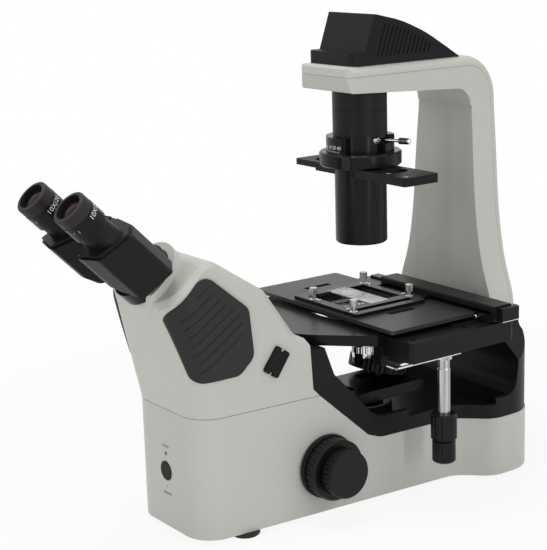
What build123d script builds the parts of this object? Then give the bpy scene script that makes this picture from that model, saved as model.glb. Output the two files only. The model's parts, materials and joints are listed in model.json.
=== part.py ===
# Inverted microscope: a stand with a C-shaped arm, a long-distance condenser above the
# stage, a moving stage plate with a slide holder, a focusing nosepiece below the stage
# and an inclined binocular head at the front.
# Millimetres. X is the user's right, Y points away from the user, Z is up.
# The origin is on the bench, straight below the optical axis of condenser and objective.
import os
from math import cos, hypot, pi, radians, sin, tan

from build123d import *

# General values
wall = 4.0
overrun = 5.0
face_gap = 0.3
fit_gap = 0.05
cutter_share = 4.0
through_share = 3.0
slide_gap = 0.5

# Base: plan outline and levels
base_front_y = -252.0
base_rear_y = 161.0
base_front_half = 61.5
base_waist_half = 78.0
base_waist_y = 60.0
base_tail_half = 108.0
base_tail_y = 90.0
base_front_round = 30.0
base_waist_round = 30.0
base_rear_round = 44.0
base_bottom_z = 5.0
seam_z = 129.0
tray_z = 69.0
tray_low_y = -37.0
tray_bend = (-53.0, 75.0)
seam_rear_y = -112.0
tray_bend_round = 24.0
toe_run = 60.0
plate_thickness = 2.0

# Feet
foot_radius = 15.0
foot_dish = 1.5
foot_pin_radius = 4.0
foot_pin_length = 3.0
foot_places = ((54.0, -197.0), (82.0, 112.0))

# Front housing
front_lean = 12.6
front_top_up = -14.0
slope_break = (-172.0, 246.0)
slope_round = 14.0
ledge_front = (-139.0, 197.0)
ledge_back = (-126.0, 190.0)
rear_wall_top = (-122.5, 184.0)
rear_wall_low = (-119.5, 137.0)
front_edge_bevel = 5.0

# Binocular head, in its own frame: x to the user's right, y up its back, z towards the eye
head_angle = 45.0
eye_y = -362.0
eye_z = 350.0
eye_half_spacing = 36.2
hinge_height = 8.0
neck_face = -134.0
neck_collar_height = 8.0
neck_collar_radius = 38.0
mount_flange_radius = 30.0
mount_flange_thickness = 15.0
mount_boss_radius = 20.0
mount_boss_length = 9.0
head_body_front = -47.0
head_body_back = -118.5
head_half_width = 57.0
head_top = 15.0
head_ridge = 30.0
head_shoulder = 27.0
head_shoulder_half = 39.0
head_bottom = -22.0
head_belly = -27.0
head_belly_half = 32.0
head_corner_round = 6.0
head_rim = 4.0
head_front_lean = 18.0
head_back_lean = 13.5
head_back_low = -107.4
head_belly_turn = -74.0
head_belly_round = 60.0
head_back_round = 8.0
head_rim_inset = 2.5
head_swing_down = 33.0
head_swing_up = 13.0
knuckle_radius = 27.0
knuckle_length = 17.0
knuckle_gap = 0.4
head_split = 1.2
head_bore_front = -60.0
mount_light_radius = 6.0
hinge_pin_radius = 9.0
tube_radius = 15.8
tube_front = -30.0
tube_collar_radius = 18.2
tube_root = -64.0
tube_collar_front = -42.0
tube_bore_radius = 11.65
eyepiece_sleeve_radius = 11.6
eyepiece_sleeve_length = 28.0
eyepiece_barrel_radius = 17.9
eyepiece_barrel_front = -11.5
eyecup_radius = 17.6
eyecup_mouth_radius = 13.6
eyecup_lip = 2.0
eye_lens_radius = 12.0
eye_lens_thickness = 4.0
eye_lens_depth = 7.0

# Side pads and side plug
pad_points = ((-241.0, 274.0), (-193.0, 233.0), (-188.0, 184.0), (-205.0, 168.0),
              (-252.5, 167.0), (-275.5, 236.0))
pad_round = 13.0
pad_inset = 9.0
pad_proud = 2.0
pad_groove_width = 0.9
pad_groove_depth = 0.6
pad_groove_pitch = 9.0
pad_groove_length = 140.0
pad_groove_count = 9
pad_groove_angle = 35.0
pad_reach_share = 3.0
plug_centre = (-163.0, 174.0)
plug_length = 28.0
plug_width = 18.0
plug_tilt = 55.0
plug_proud = 4.0
plug_round = 2.5
plug_notch = 5.0
plug_notch_depth = 2.5
plug_stem_length = 3.0
plug_stem_share = 3.0

# Stage frame: the black casting with the cavity for the nosepiece
frame_top_z = 177.0
frame_inset = 1.0
cavity_points = ((-104.0, 177.0), (-93.0, 147.0), (-65.0, 117.0), (-41.0, 91.0), (100.0, 91.0),
                 (121.0, 91.0), (127.0, 124.0), (117.0, 177.0))
cavity_rounds = (0.0, 6.0, 6.0, 14.0, 0.0, 16.0, 24.0, 0.0)
rim_drop = 7.0
rim_drop_y = (0.0, 94.0)
rim_lip = 6.0
frame_floor_z = 75.0
frame_pocket_front_y = -34.0
frame_pocket_rear_y = 112.0
frame_shoulder_round = 40.0
frame_bend_z = 122.0
frame_top_half = 76.0
frame_shoulder_z = 156.0
frame_neck_round = 20.0
frame_back_top_y = 155.0
frame_back_z = (122.0, 154.0)
frame_back_round = 12.0
light_bore_radius = 18.0
relay_path_end = -440.0

# Fixed stage
deck_thickness = 11.0
deck_half = 100.0
deck_rear_y = 106.0
deck_plan = ((34.0, -121.0), (52.0, -110.0), (82.0, -81.0), (100.0, -62.0))
insert_radius = 55.0
insert_thickness = 3.0
insert_edge = 0.4
insert_hole_radius = 13.0
deck_hole_radius = 51.0

# Drive unit of the stage, on the user's right
drive_x = (100.0, 140.0)
drive_y = (-52.0, 86.0)
drive_z = (165.0, 186.0)
drive_corner_round = 5.0
strip_half = 11.0
strip_centre_x = 119.0
strip_y = (-58.0, 62.0)
strip_thickness = 3.5
bracket_width = 12.0
bracket_y = (-58.0, -20.0)
bracket_drop = 9.0

# Coaxial stage knobs
knob_axis = (126.0, 2.0)
knob_sleeve_radius = 6.2
knob_shaft_radius = 3.0
knob_upper_z = (73.0, 101.0)
knob_lower_z = (49.0, 72.5)
knob_upper_radius = 13.4
knob_lower_radius = 12.0
knob_rib_count = 20
knob_rib_depth = 0.7
knob_flange_radius = 8.5
knob_flange_thickness = 3.0
knob_seat_depth = 6.0
knob_round = 1.5

# Moving stage plate and rail
plate_top_z = 195.0
stage_plate_thickness = 4.0
stage_plate_half = 116.8
stage_plate_front_y = -57.0
stage_plate_round = 3.0
window_x = (-54.0, 38.0)
window_y = (-32.0, 34.0)
plate_slots_x = (-79.0, 63.0)
plate_slot_length = 34.0
plate_slot_width = 8.0
rail_y = (55.0, 80.0)
rail_x = (-36.0, 142.0)
rail_z = (189.0, 205.0)
rail_channel_width = 12.0
rail_channel_height = 8.0
rail_chamfer = 1.5
rail_bracket_x = (142.0, 149.0)
rail_bracket_y = (61.0, 84.0)
rail_bracket_z = (189.5, 203.0)
rail_foot_x = (108.0, 134.0)
rail_skid_x = (-36.0, -18.0)
guide_width = 9.0
guide_height = 1.5

# Slide holder
bar_length = 150.0
bar_start_x = -62.0
holder_x = (-54.0, 54.0)
holder_y = (-52.0, 42.0)
holder_rim = 9.0
holder_thickness = 3.2
holder_bar_width = 12.0
holder_tongues = ((-53.0, -27.0), (18.0, 46.0))
screw_places = ((-44.0, 37.0), (33.0, 37.0), (-24.0, -47.0), (44.0, -47.0))
screw_head_radius = 4.2
screw_head_height = 7.0
screw_neck_radius = 2.2
screw_neck_height = 6.0
screw_rib_depth = 0.35
screw_rib_count = 12
slide_length = 76.0
slide_width = 26.0
slide_thickness = 1.1
slide_centre = (-8.0, 0.0)
slide_ledge = 3.0

# Arm
arm_half_tip = 42.0
arm_tip_y = -46.0
arm_tip_low_y = -42.5
arm_tip_round = 8.0
arm_under_tip_z = 421.0
arm_under_root_z = 413.0
arm_root_y = 116.0
arm_inner_round = 18.0
arm_seam_z = 436.5
arm_top_z = 447.0
arm_seam_y = 145.0
arm_rear_y = 154.5
arm_outer_round = 44.0
arm_seam_round = 32.0
arm_widths = ((42.0, 450.0), (42.0, 395.0), (45.0, 355.0), (47.5, 318.0), (51.0, 278.0),
              (56.5, 243.0), (64.0, 215.0), (72.0, 192.0), (74.0, 177.0))
arm_hollow_depth = 8.0
arm_hollow_half = 47.0
arm_cover_round = 8.0
arm_lip_round = 3.0
arm_light_radius = 24.0

# Lamp house
lamp_half = 37.0
lamp_step_front_y = -38.0
lamp_step_height = 13.0
lamp_step_top_z = arm_top_z + lamp_step_height
lamp_front_low_y = -22.0
lamp_front_top_y = -9.0
lamp_height = 50.5
lamp_top_z = arm_top_z + lamp_height
lamp_rear_y = 105.0
lamp_crown_rises = ((27.0, 42.0), (59.0, 28.0), (89.0, 10.0))
lamp_step_round = 8.0
lamp_lip_round = 2.0
lamp_crown_round = 150.0
lamp_wall = 3.0
lamp_rib_count = 13
lamp_rib_pitch = 5.6
lamp_rib_start_y = -6.0
lamp_rib_proud = 0.8
lamp_rib_width = 1.2
lamp_rib_rise = 8.0
lamp_rib_z = arm_top_z + lamp_rib_rise
lamp_rib_margin = 6.0
led_plate_radius = 30.0
led_plate_thickness = 3.0
led_sink_half = 18.0
led_sink_height = 12.0
led_chip_half = 8.0
led_chip_height = 3.0
collector_z = 424.0
led_fin_count = 6
led_fin_share = 0.5
collector_thickness = 8.0

# Condenser
upper_tube_radius = 28.4
upper_tube_bottom_z = 373.0
lower_tube_radius = 27.2
lower_tube_bottom_z = 259.7
collar_radius = 35.5
collar_core_radius = 27.9
collar_top_z = 372.0
flange_radius = 43.0
flange_z = (341.5, 356.0)
flange_bevel = 1.5
tube_wall = 3.5
groove_depth = 0.8
groove_width = 1.0
groove_z = 398.7
lens_edge_share = 0.4
lens_flat = 0.8
condenser_lens_thickness = 7.0
iris_z = (366.0, 370.0)
iris_slot_gap = 0.6
iris_lever_angle = 21.0
iris_swing = 25.0
iris_ring_hole = 14.0
lever_rod_radius = 1.6
lever_reach = 59.0
lever_grip_length = 13.0
lever_grip_radius = 3.2
lever_edge_share = 6.0
collar_gap_angles = (-63.0, 8.0)
tab_width = 9.0
tab_proud = 2.2
tab_angles = (-58.0, 122.0)
lever_clear_angle = 5.0
sector_steps = 8
slider_corner_round = 3.0
slider_x = (-84.0, 97.0)
slider_half = 22.5
slider_z = (331.5, 340.5)
slider_step = 2.6
slider_step_x = (-84.0, -48.0)
slider_hole_radius = 14.0
slider_holes_x = (-54.0, 0.0, 54.0)
slider_slot_clearance = 0.35

# Focus drive
focus_axis = (-106.0, 54.0)
tension_ring_radius = 33.0
tension_ring_width = 5.5
coarse_radius = 31.5
coarse_width = 15.0
fine_radius = 24.5
fine_width = 16.5
knob_gap = 0.5
coarse_sleeve_radius = 4.5
fine_shaft_radius = 2.5
bush_radius = 13.0
bush_length = 12.0
pinion_radius = 6.0
pinion_teeth = 18
pinion_tooth_depth = 1.4
pinion_width = 14.0
tooth_shares = (0.0, 0.2, 0.45, 0.65)
grip_count = 32
rib_shares = (0.0, 0.3, 0.7)
grip_depth = 0.9
knob_edge_round = 1.6
knob_plain_share = 3.0

# Nosepiece
carriage_x = 40.0
carriage_width = 16.0
carriage_depth = 14.0
carriage_z = (34.0, 128.0)
guide_z = (86.0, 170.0)
guide_thickness = 6.0
well_rear_y = -38.0
well_floor_z = 86.0
nose_arm_z = (98.0, 110.0)
nose_arm_half = 19.0
nose_plate_gap = 2.0
rack_tooth_count = 22
turret_tilt = 14.0
turret_radius = 33.0
turret_thickness = 13.0
turret_circle = 24.0
turret_rib_count = 36
turret_hub_radius = 10.0
turret_hub_length = 10.0
turret_clear_share = 6.0
objective_top_z = 178.0
objective_angles = (0.0, 90.0, 180.0, 270.0)
objective_radius = 12.0
objective_nose_radius = 7.5
objective_thread_radius = 10.1
objective_thread_length = 4.5
objective_shares = (1.0, 0.72, 0.86, 0.94)
objective_names = ("objective_20x", "objective_4x", "objective_10x", "objective_40x")
objective_barrel_share = 0.66
objective_band_share = 0.3
objective_band_width = 7.0
objective_rib_count = 24
objective_bore_radius = 5.0
objective_length = 45.0

# Relay optics
mirror_block_half = 19.0
mirror_low_z = 33.0
mirror_high_z = 62.0
mirror_thickness = 3.0
relay_tube_radius = 16.0
relay_tube_wall = 2.0
relay_tube_top = -146.0
relay_tube_bottom = -262.0
relay_lens_thickness = 5.0
relay_lens_shares = (0.15, 0.55, 0.92)

# Electrics
board_size = (70.0, 52.0, 1.6)
board_centre = (0.0, -160.0)
board_z = 14.0
board_post_radius = 3.0
supply_size = (62.0, 70.0, 26.0)
supply_centre = (-30.0, 92.0)
inlet_centre = (-48.0, 34.0)
inlet_size = (48.0, 27.0)
inlet_depth = 17.0
inlet_flange = 2.5
inlet_mouth = (27.0, 20.0)
inlet_pin_radius = 2.0
inlet_pin_shares = (4.0, 6.0)
button_centre_z = 64.0
button_radius = 9.6
button_travel = 3.0
button_proud = 1.2
button_depth = 12.0
button_gap = 0.4
led_centre_z = 82.0
led_radius = 2.2
switch_size = (14.0, 12.0, 14.0)

# Case screws
case_screw_radius = 3.4
case_screw_height = 2.4
case_screw_socket = 1.6
socket_sides = 6
case_screw_places = ((108.0, -40.0), (128.0, -40.0), (108.0, 28.0), (128.0, 28.0))


def outline(points, rounds):
    """A closed face on the XY plane with rounded corners."""
    return make_face(FilletPolyline(*points, radius=rounds, close=True))


def mirrored(points):
    """Right-half points followed by the same points on the left, in reverse."""
    return list(points) + [(-x, y) for x, y in reversed(points)]


def slab(face, low, high):
    """A face on XY turned into a slab between two heights."""
    return extrude(Plane.XY.offset(low) * face, amount=high - low)


def side_prism(face, half_width, centre=0.0):
    """A face drawn as (Y, Z) turned into a solid across X."""
    return extrude(Plane.YZ.offset(centre) * face, amount=half_width, both=True)


def block(x_range, y_range, z_range):
    """A box given by its three ranges."""
    size = [high - low for low, high in (x_range, y_range, z_range)]
    middle = [(high + low) / 2 for low, high in (x_range, y_range, z_range)]
    return Pos(*middle) * Box(*size)


def rod(radius, low, high, place=(0.0, 0.0)):
    """An upright cylinder between two heights."""
    return Pos(place[0], place[1], (low + high) / 2) * Cylinder(radius, high - low)


def cross_rod(radius, low, high, place):
    """A cylinder along X between two X values, with its axis at (Y, Z)."""
    turned = Rot(0, 90, 0) * Cylinder(radius, high - low)
    return Pos((low + high) / 2, place[0], place[1]) * turned


def toothed(radii, shares, count):
    """A closed face with straight-sided teeth: radii at shares of each tooth's angle."""
    points = []
    for k in range(count):
        for share, radius in zip(shares, radii):
            angle = radians((k + share) * 360 / count)
            points.append((radius * cos(angle), radius * sin(angle)))
    return make_face(Polyline(*points, close=True))


def ribbed_disc(radius, depth, count, height):
    """A disc with grip ribs round its rim, centred on the origin."""
    face = toothed((radius - depth, radius, radius), rib_shares, count)
    return extrude(face, amount=height / 2, both=True)


def grip_knob(radius, depth, count, height, edge_round):
    """A knob centred on the origin, with softened ends and a ribbed band between them."""
    core = Cylinder(radius, height)
    core = chamfer(core.edges().filter_by(GeomType.CIRCLE), edge_round)
    band = height - knob_plain_share * edge_round
    ring = Cylinder(radius + overrun, band) - ribbed_disc(radius - fit_gap, depth, count, band)
    return core - ring


def base_plan(inset=0.0):
    """The plan outline of the base, narrow in front and wide behind."""
    half = ((base_front_half, base_front_y), (base_waist_half, base_waist_y),
            (base_tail_half, base_tail_y), (base_tail_half, base_rear_y))
    rounds = (base_front_round, base_waist_round, base_waist_round, base_rear_round)
    face = outline(mirrored(half), rounds + tuple(reversed(rounds)))
    return offset(face, amount=-inset) if inset else face


def side_wall_x(y):
    """Half the width of the base in front of its waist."""
    share = (y - base_front_y) / (base_waist_y - base_front_y)
    return base_front_half + share * (base_waist_half - base_front_half)


def head_plane():
    """The frame of the binocular head, with its origin between the two eye openings."""
    tilt = radians(head_angle)
    return Plane(origin=(0, eye_y, eye_z), x_dir=(1, 0, 0), z_dir=(0, -sin(tilt), cos(tilt)))


def on_head(shape):
    return head_plane() * shape


def head_point(up, along):
    """The (Y, Z) of a point of the head's middle plane."""
    point = head_plane().from_local_coords(Vector(0, up, along))
    return (point.Y, point.Z)


def below_seam(inset=0.0):
    """Side view of the light lower housing."""
    far = base_rear_y + overrun
    near = base_front_y - toe_run
    points = ((near, base_bottom_z), (far, base_bottom_z), (far, tray_z), (tray_low_y, tray_z),
              tray_bend, (seam_rear_y, seam_z), (near, seam_z))
    face = outline(points, (0, 0, 0, tray_bend_round, 0, 0, 0))
    return offset(face, amount=-inset) if inset else face


def centred(middle, size):
    """The range of a given size round its middle."""
    return (middle - size / 2, middle + size / 2)


def front_profile():
    """Side view of the upper front housing, as (Y, Z)."""
    neck_low = head_point(front_top_up, neck_face)
    neck_top = head_point(hinge_height + neck_collar_radius, neck_face)
    points = ((base_front_y, seam_z), neck_low, neck_top, slope_break, ledge_front, ledge_back,
              rear_wall_top, rear_wall_low, (seam_rear_y, seam_z))
    return outline(points, (0, 0, slope_round, slope_round, slope_round, 0, 0, 0, 0))


def leaning_plan(inset=0.0):
    """The base plan carried up along the lean of the front face."""
    lean = tan(radians(front_lean))
    below = seam_z - base_bottom_z
    start = Pos(0, below * lean, base_bottom_z) * base_plan(inset)
    return extrude(start, amount=(eye_z - base_bottom_z) * hypot(1, lean), dir=(0, -lean, 1))


def light_channel(radius):
    """The inclined light path from the fold mirror up to the head."""
    reach = neck_face - relay_path_end
    return on_head(Pos(0, hinge_height, relay_path_end + reach / 2) * Cylinder(radius, reach))


def front_rod(radius, depth, height, proud=0.0):
    """A cylinder along Y at the front face, from a little outside it to a depth inside."""
    middle = base_front_y + (depth - proud) / 2
    return Pos(0, middle, height) * Rot(90, 0, 0) * Cylinder(radius, depth + proud)


def rack_face_y():
    """The toothed front face of the rack, just behind the pinion."""
    return focus_axis[0] + pinion_radius + pinion_tooth_depth / 2 + fit_gap


def carriage_span(gap=0.0):
    return centred(carriage_x, carriage_width + 2 * gap)


def carriage_well():
    """The slot in which the focusing carriage and its arm run."""
    near = rack_face_y() - slide_gap
    far = rack_face_y() + carriage_depth + slide_gap
    low = block(carriage_span(slide_gap), (near, far), (base_bottom_z + wall, frame_top_z + overrun))
    back = block(carriage_span(slide_gap), (near - guide_thickness, well_rear_y),
                 (well_floor_z, frame_top_z + overrun))
    return low + back


def inlet_window():
    return block(centred(inlet_centre[0], inlet_mouth[0] + 2 * wall),
                 (base_rear_y - inlet_depth, base_rear_y + overrun),
                 centred(inlet_centre[1], inlet_mouth[1] + 2 * inlet_flange))


def lower_housing():
    outer = slab(base_plan(), base_bottom_z, seam_z)
    body = outer & side_prism(below_seam(), base_tail_half + overrun)
    core = slab(base_plan(wall), base_bottom_z - overrun, seam_z)
    lid = side_prism(offset(below_seam(), amount=-wall), base_tail_half + overrun)
    open_below = block((-base_tail_half, base_tail_half), (base_front_y, base_rear_y),
                       (base_bottom_z - overrun, base_bottom_z + wall + overrun))
    body -= core & (lid + open_below)
    gate = block((-base_front_half, base_front_half), (base_front_y, seam_rear_y),
                 (seam_z - wall - overrun, seam_z + overrun))
    body -= light_channel(light_bore_radius) & gate
    body -= rod(light_bore_radius, tray_z - wall - overrun, tray_z + overrun)
    body -= carriage_well()
    body -= cross_rod(bush_radius + fit_gap, -base_tail_half, base_tail_half, focus_axis)
    wall_x = side_wall_x(focus_axis[0])
    for ends in ((wall_x, base_tail_half), (-base_tail_half, -wall_x)):
        body -= cross_rod(tension_ring_radius + slide_gap, *ends, focus_axis)
    body -= front_rod(button_radius + button_gap, button_depth, button_centre_z, overrun)
    body -= front_rod(led_radius + fit_gap, button_depth, led_centre_z, overrun)
    return body - inlet_window()


def both_sides(places):
    return [(side * x, y) for x, y in places for side in (1, -1)]


def bottom_plate():
    plate = slab(base_plan(wall + face_gap), base_bottom_z, base_bottom_z + plate_thickness)
    for place in both_sides(foot_places):
        plate -= rod(foot_pin_radius + fit_gap, 0, base_bottom_z + overrun, place)
    return plate


def feet():
    group = []
    for place in both_sides(foot_places):
        pad = rod(foot_radius, 0, base_bottom_z, place)
        pad = chamfer(pad.edges().group_by(Axis.Z)[0], foot_dish)
        group.append(pad + rod(foot_pin_radius, 0, base_bottom_z + foot_pin_length, place))
    return Compound(children=group)


def front_housing():
    body = side_prism(front_profile(), base_waist_half + overrun) & leaning_plan()
    crest = [e for e in body.edges()
             if abs(e.center().X) > base_front_half / 2 and e.center().Z > ledge_back[1]
             and (eye_y + slope_break[0]) / 2 < e.center().Y < slope_break[0]]
    body = chamfer(crest, front_edge_bevel)
    neck = Pos(0, hinge_height, neck_face - slope_round)
    collar = neck * Pos(0, 0, (neck_collar_height + slope_round) / 2) * Cylinder(
        neck_collar_radius, neck_collar_height + slope_round)
    body += on_head(collar) & leaning_plan()
    inner = side_prism(offset(front_profile(), amount=-wall), base_waist_half) & leaning_plan(wall)
    open_below = leaning_plan(wall) & block(
        (-base_waist_half, base_waist_half), (base_front_y, rear_wall_low[0] - wall),
        (seam_z - overrun, seam_z + wall + overrun))
    body -= inner + open_below
    seat = Pos(0, hinge_height, neck_face + neck_collar_height) * Cylinder(
        mount_flange_radius + slide_gap, 2 * neck_collar_height)
    hole = Pos(0, hinge_height, neck_face) * Cylinder(mount_boss_radius + fit_gap,
                                                      cutter_share * slope_round)
    body -= on_head(seat) + on_head(hole)
    return body - side_plug(fit_gap)


def pad_skin(low, high, side):
    """The part of a layer over the leaning walls that lies behind the pad's outline."""
    face = outline(pad_points, pad_round)
    reach = base_waist_half / 2
    prism = side_prism(face, reach, side * (reach + base_front_half / pad_reach_share))
    return (leaning_plan(-high) - leaning_plan(-low)) & prism


def side_pads():
    pads = []
    middle = (pad_points[0][0] + pad_points[4][0]) / 2
    centre = (middle, (pad_points[0][1] + pad_points[4][1]) / 2)
    for side in (1, -1):
        pad = pad_skin(face_gap, pad_proud, side)
        grooves = Sketch()
        for k in range(pad_groove_count):
            shift = (k - (pad_groove_count - 1) / 2) * pad_groove_pitch
            line = Pos(0, shift) * Rectangle(pad_groove_length, pad_groove_width)
            grooves += Pos(*centre) * Rot(0, 0, pad_groove_angle) * line
        grooves &= offset(outline(pad_points, pad_round), amount=-pad_inset)
        cut = side_prism(grooves, base_waist_half / 2, side * base_waist_half)
        cut &= leaning_plan(-pad_proud - overrun) - leaning_plan(pad_groove_depth - pad_proud)
        pads.append(pad - cut)
    return Compound(children=pads)


def side_plug(gap=0.0):
    """The notched cover of the side port, with a stem through the wall on the right."""
    turn = Rot(0, 0, plug_tilt)
    face = turn * RectangleRounded(plug_length, plug_width, plug_round)
    for end in (1, -1):
        notch = Pos(end * plug_length / 2, 0) * Rectangle(2 * plug_notch_depth, plug_notch)
        face -= turn * notch
    face = Pos(*plug_centre) * face
    wall_x = side_wall_x(plug_centre[0])
    cap = side_prism(face, plug_proud, wall_x)
    cap &= leaning_plan(-plug_proud) - leaning_plan(0.0)
    stem_face = Pos(*plug_centre) * turn * RectangleRounded(
        plug_length - plug_stem_share * plug_notch_depth + 2 * gap, plug_width - plug_notch + 2 * gap,
        plug_round)
    stem = side_prism(stem_face, wall + plug_stem_length, wall_x)
    stem &= leaning_plan(0.0) - leaning_plan(wall + plug_stem_length)
    return stem if gap else cap + stem


def frame_front_view():
    """The frame narrows to round shoulders as it rises to the arm."""
    half = ((base_tail_half + overrun, tray_z - overrun), (base_tail_half + overrun, frame_bend_z),
            (frame_top_half, frame_shoulder_z), (frame_top_half, frame_top_z + overrun))
    rounds = (0, frame_shoulder_round, frame_neck_round, 0)
    return outline(mirrored(half), rounds + tuple(reversed(rounds)))


def frame_back_view():
    """Side view of what is left out behind the frame, where its back leans towards the arm."""
    far = base_rear_y + overrun
    points = ((far, frame_back_z[0]), (frame_back_top_y, frame_back_z[1]),
              (frame_back_top_y, frame_top_z + overrun), (far, frame_top_z + overrun))
    return outline(points, (0, frame_back_round, 0, 0))


def stage_frame():
    body = slab(base_plan(frame_inset), tray_z, frame_top_z)
    body &= extrude(Plane.XZ * frame_front_view(), amount=base_rear_y * 2, both=True)
    body &= block((-base_tail_half, base_tail_half), (rear_wall_top[0], base_rear_y),
                  (tray_z, frame_top_z))
    body -= side_prism(frame_back_view(), base_tail_half)
    body -= side_prism(front_profile(), base_tail_half)
    body -= side_prism(below_seam(), base_tail_half)
    body -= side_prism(outline(cavity_points, cavity_rounds), base_tail_half + overrun)
    body -= block((-base_tail_half, base_tail_half), rim_drop_y,
                  (cavity_points[4][1] - rim_drop, frame_top_z))
    pocket = slab(base_plan(frame_inset + rim_lip), frame_floor_z, cavity_points[4][1] + overrun)
    body -= pocket & block((-base_tail_half, base_tail_half),
                           (frame_pocket_front_y, frame_pocket_rear_y),
                           (frame_floor_z, cavity_points[4][1] + overrun))
    body -= rod(light_bore_radius, tray_z - overrun, frame_floor_z + overrun)
    return body - carriage_well()


def stage_deck():
    deck = extrude(Plane.XY.offset(frame_top_z) * outline(
        mirrored(deck_plan + ((deck_half, deck_rear_y),)), 0.0), amount=deck_thickness)
    top = frame_top_z + deck_thickness
    deck -= rod(insert_radius + fit_gap, top - insert_thickness, top + overrun)
    return deck - rod(deck_hole_radius, frame_top_z - overrun, top + overrun)


def stage_insert():
    top = frame_top_z + deck_thickness
    disc = rod(insert_radius, top - insert_thickness, top)
    disc = chamfer(disc.edges().group_by(Axis.Z)[-1], insert_edge)
    return disc - rod(insert_hole_radius, top - 2 * insert_thickness, top + overrun)


def arm_widths_face():
    """Front view of the arm: narrow at the lamp, flared towards the stage."""
    right = [(x, z) for x, z in arm_widths]
    left = [(-x, z) for x, z in reversed(arm_widths)]
    sides = Spline(*right) + Spline(*left)
    return make_face(sides + Line(right[-1], left[0]) + Line(left[-1], right[0]))


def arm_solid(profile):
    """A side view of the arm trimmed to its front view and its rounded tip."""
    wide = arm_widths[-1][0] + overrun
    half = ((arm_half_tip, arm_tip_y), (arm_half_tip, arm_root_y - overrun),
            (wide, arm_root_y - overrun), (wide, arm_rear_y))
    rounds = (arm_tip_round, 0, 0, 0)
    plan = outline(mirrored(half), rounds + tuple(reversed(rounds)))
    body = side_prism(profile, wide) & slab(plan, frame_top_z, arm_top_z)
    return body & extrude(Plane.XZ * arm_widths_face(), amount=arm_rear_y * 2, both=True)


def arm_casting_profile():
    points = ((arm_tip_y, arm_seam_z), (arm_tip_low_y, arm_under_tip_z),
              (arm_root_y, arm_under_root_z), (arm_root_y, frame_top_z), (arm_seam_y, frame_top_z),
              (arm_seam_y, arm_seam_z))
    return outline(points, (0, arm_lip_round, arm_inner_round, 0, 0, arm_seam_round))


def arm_cover_profile():
    seam_low = arm_seam_z + face_gap
    seam_back = arm_seam_y + face_gap
    points = ((arm_tip_y, seam_low), (arm_tip_y, arm_top_z), (arm_rear_y, arm_top_z),
              (arm_rear_y, frame_top_z), (seam_back, frame_top_z), (seam_back, seam_low))
    return outline(points, (0, arm_lip_round, arm_outer_round, 0, 0, arm_seam_round + face_gap))


def arm_casting():
    body = arm_solid(arm_casting_profile())
    sag = arm_hollow_depth
    radius = (arm_hollow_half ** 2 + sag ** 2) / (2 * sag)
    hollow = rod(radius, frame_top_z - overrun, arm_under_root_z - arm_inner_round,
                 (0, arm_root_y + sag - radius))
    body -= hollow
    return body - rod(upper_tube_radius + fit_gap, arm_under_root_z, arm_seam_z + overrun)


def arm_cover():
    body = arm_solid(arm_cover_profile())
    rear = [e for e in body.edges() if e.center().Y > arm_rear_y - face_gap
            and abs(e.center().X) > arm_half_tip / 2]
    body = fillet(rear, arm_cover_round)
    return body - rod(arm_light_radius, arm_seam_z - overrun, arm_top_z + overrun)


def lamp_profile():
    """Side view of the lamp house, with its long falling crown."""
    points = ((lamp_rear_y, arm_top_z), (lamp_front_low_y, arm_top_z),
              (lamp_front_low_y, lamp_step_top_z), (lamp_front_top_y, lamp_top_z))
    points += tuple((y, arm_top_z + rise) for y, rise in lamp_crown_rises)
    return outline(points, (0, 0, 0, lamp_lip_round) + (lamp_crown_round,) * len(lamp_crown_rises))


def lamp_ribs():
    """Slanted vent ribs that stand a little proud of both sides."""
    lean = (lamp_front_top_y - lamp_front_low_y) / (lamp_top_z - lamp_step_top_z)
    ribs = Sketch()
    for k in range(lamp_rib_count):
        y = lamp_rib_start_y + k * lamp_rib_pitch
        rise = lamp_top_z - lamp_rib_z
        rib = Polygon((y, lamp_rib_z), (y + lamp_rib_width, lamp_rib_z),
                      (y + lamp_rib_width + rise * lean, lamp_top_z), (y + rise * lean, lamp_top_z),
                      align=None)
        ribs += rib
    zone = side_prism(offset(lamp_profile(), amount=-lamp_rib_margin), lamp_half + lamp_rib_proud)
    return zone & side_prism(ribs, lamp_half + lamp_rib_proud)


def lamp_housing():
    step_plan = outline(((-lamp_half, lamp_step_front_y), (lamp_half, lamp_step_front_y),
                         (lamp_half, 0), (-lamp_half, 0)), (lamp_step_round, lamp_step_round, 0, 0))
    body = side_prism(lamp_profile(), lamp_half) + slab(step_plan, arm_top_z, lamp_step_top_z)
    body += lamp_ribs()
    inner = lamp_half - lamp_wall
    hollow = side_prism(offset(lamp_profile(), amount=-lamp_wall), inner)
    hollow += block((-inner, inner), (lamp_step_front_y + lamp_step_round, inner),
                    (arm_top_z - overrun, lamp_step_top_z - lamp_wall))
    return body - hollow


def led_module():
    plate = rod(led_plate_radius, arm_top_z, arm_top_z + led_plate_thickness)
    top = arm_top_z + led_plate_thickness
    pitch = 2 * led_sink_half / (led_fin_count - led_fin_share)
    for k in range(led_fin_count):
        start = k * pitch - led_sink_half
        plate += block((start, start + pitch * led_fin_share), (-led_sink_half, led_sink_half),
                       (top, top + led_sink_height))
    chip = block(centred(0, 2 * led_chip_half), centred(0, 2 * led_chip_half),
                 (arm_top_z - led_chip_height, arm_top_z))
    return Compound(children=[plate, chip])


def lens(radius, thickness, low):
    """A lens with one flat face and one curved face, standing on a height."""
    edge = low + thickness * lens_edge_share
    top = low + thickness
    sag = top - edge
    curve = RadiusArc((radius, edge), (lens_flat, top), -(radius ** 2 + sag ** 2) / (2 * sag))
    rim = Polyline((lens_flat, top), (0, top), (0, low), (radius, low), (radius, edge))
    return revolve(Plane.XZ * make_face(curve + rim), Axis.Z)


def collector_lens():
    return lens(upper_tube_radius - tube_wall - fit_gap, collector_thickness, collector_z)


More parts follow.
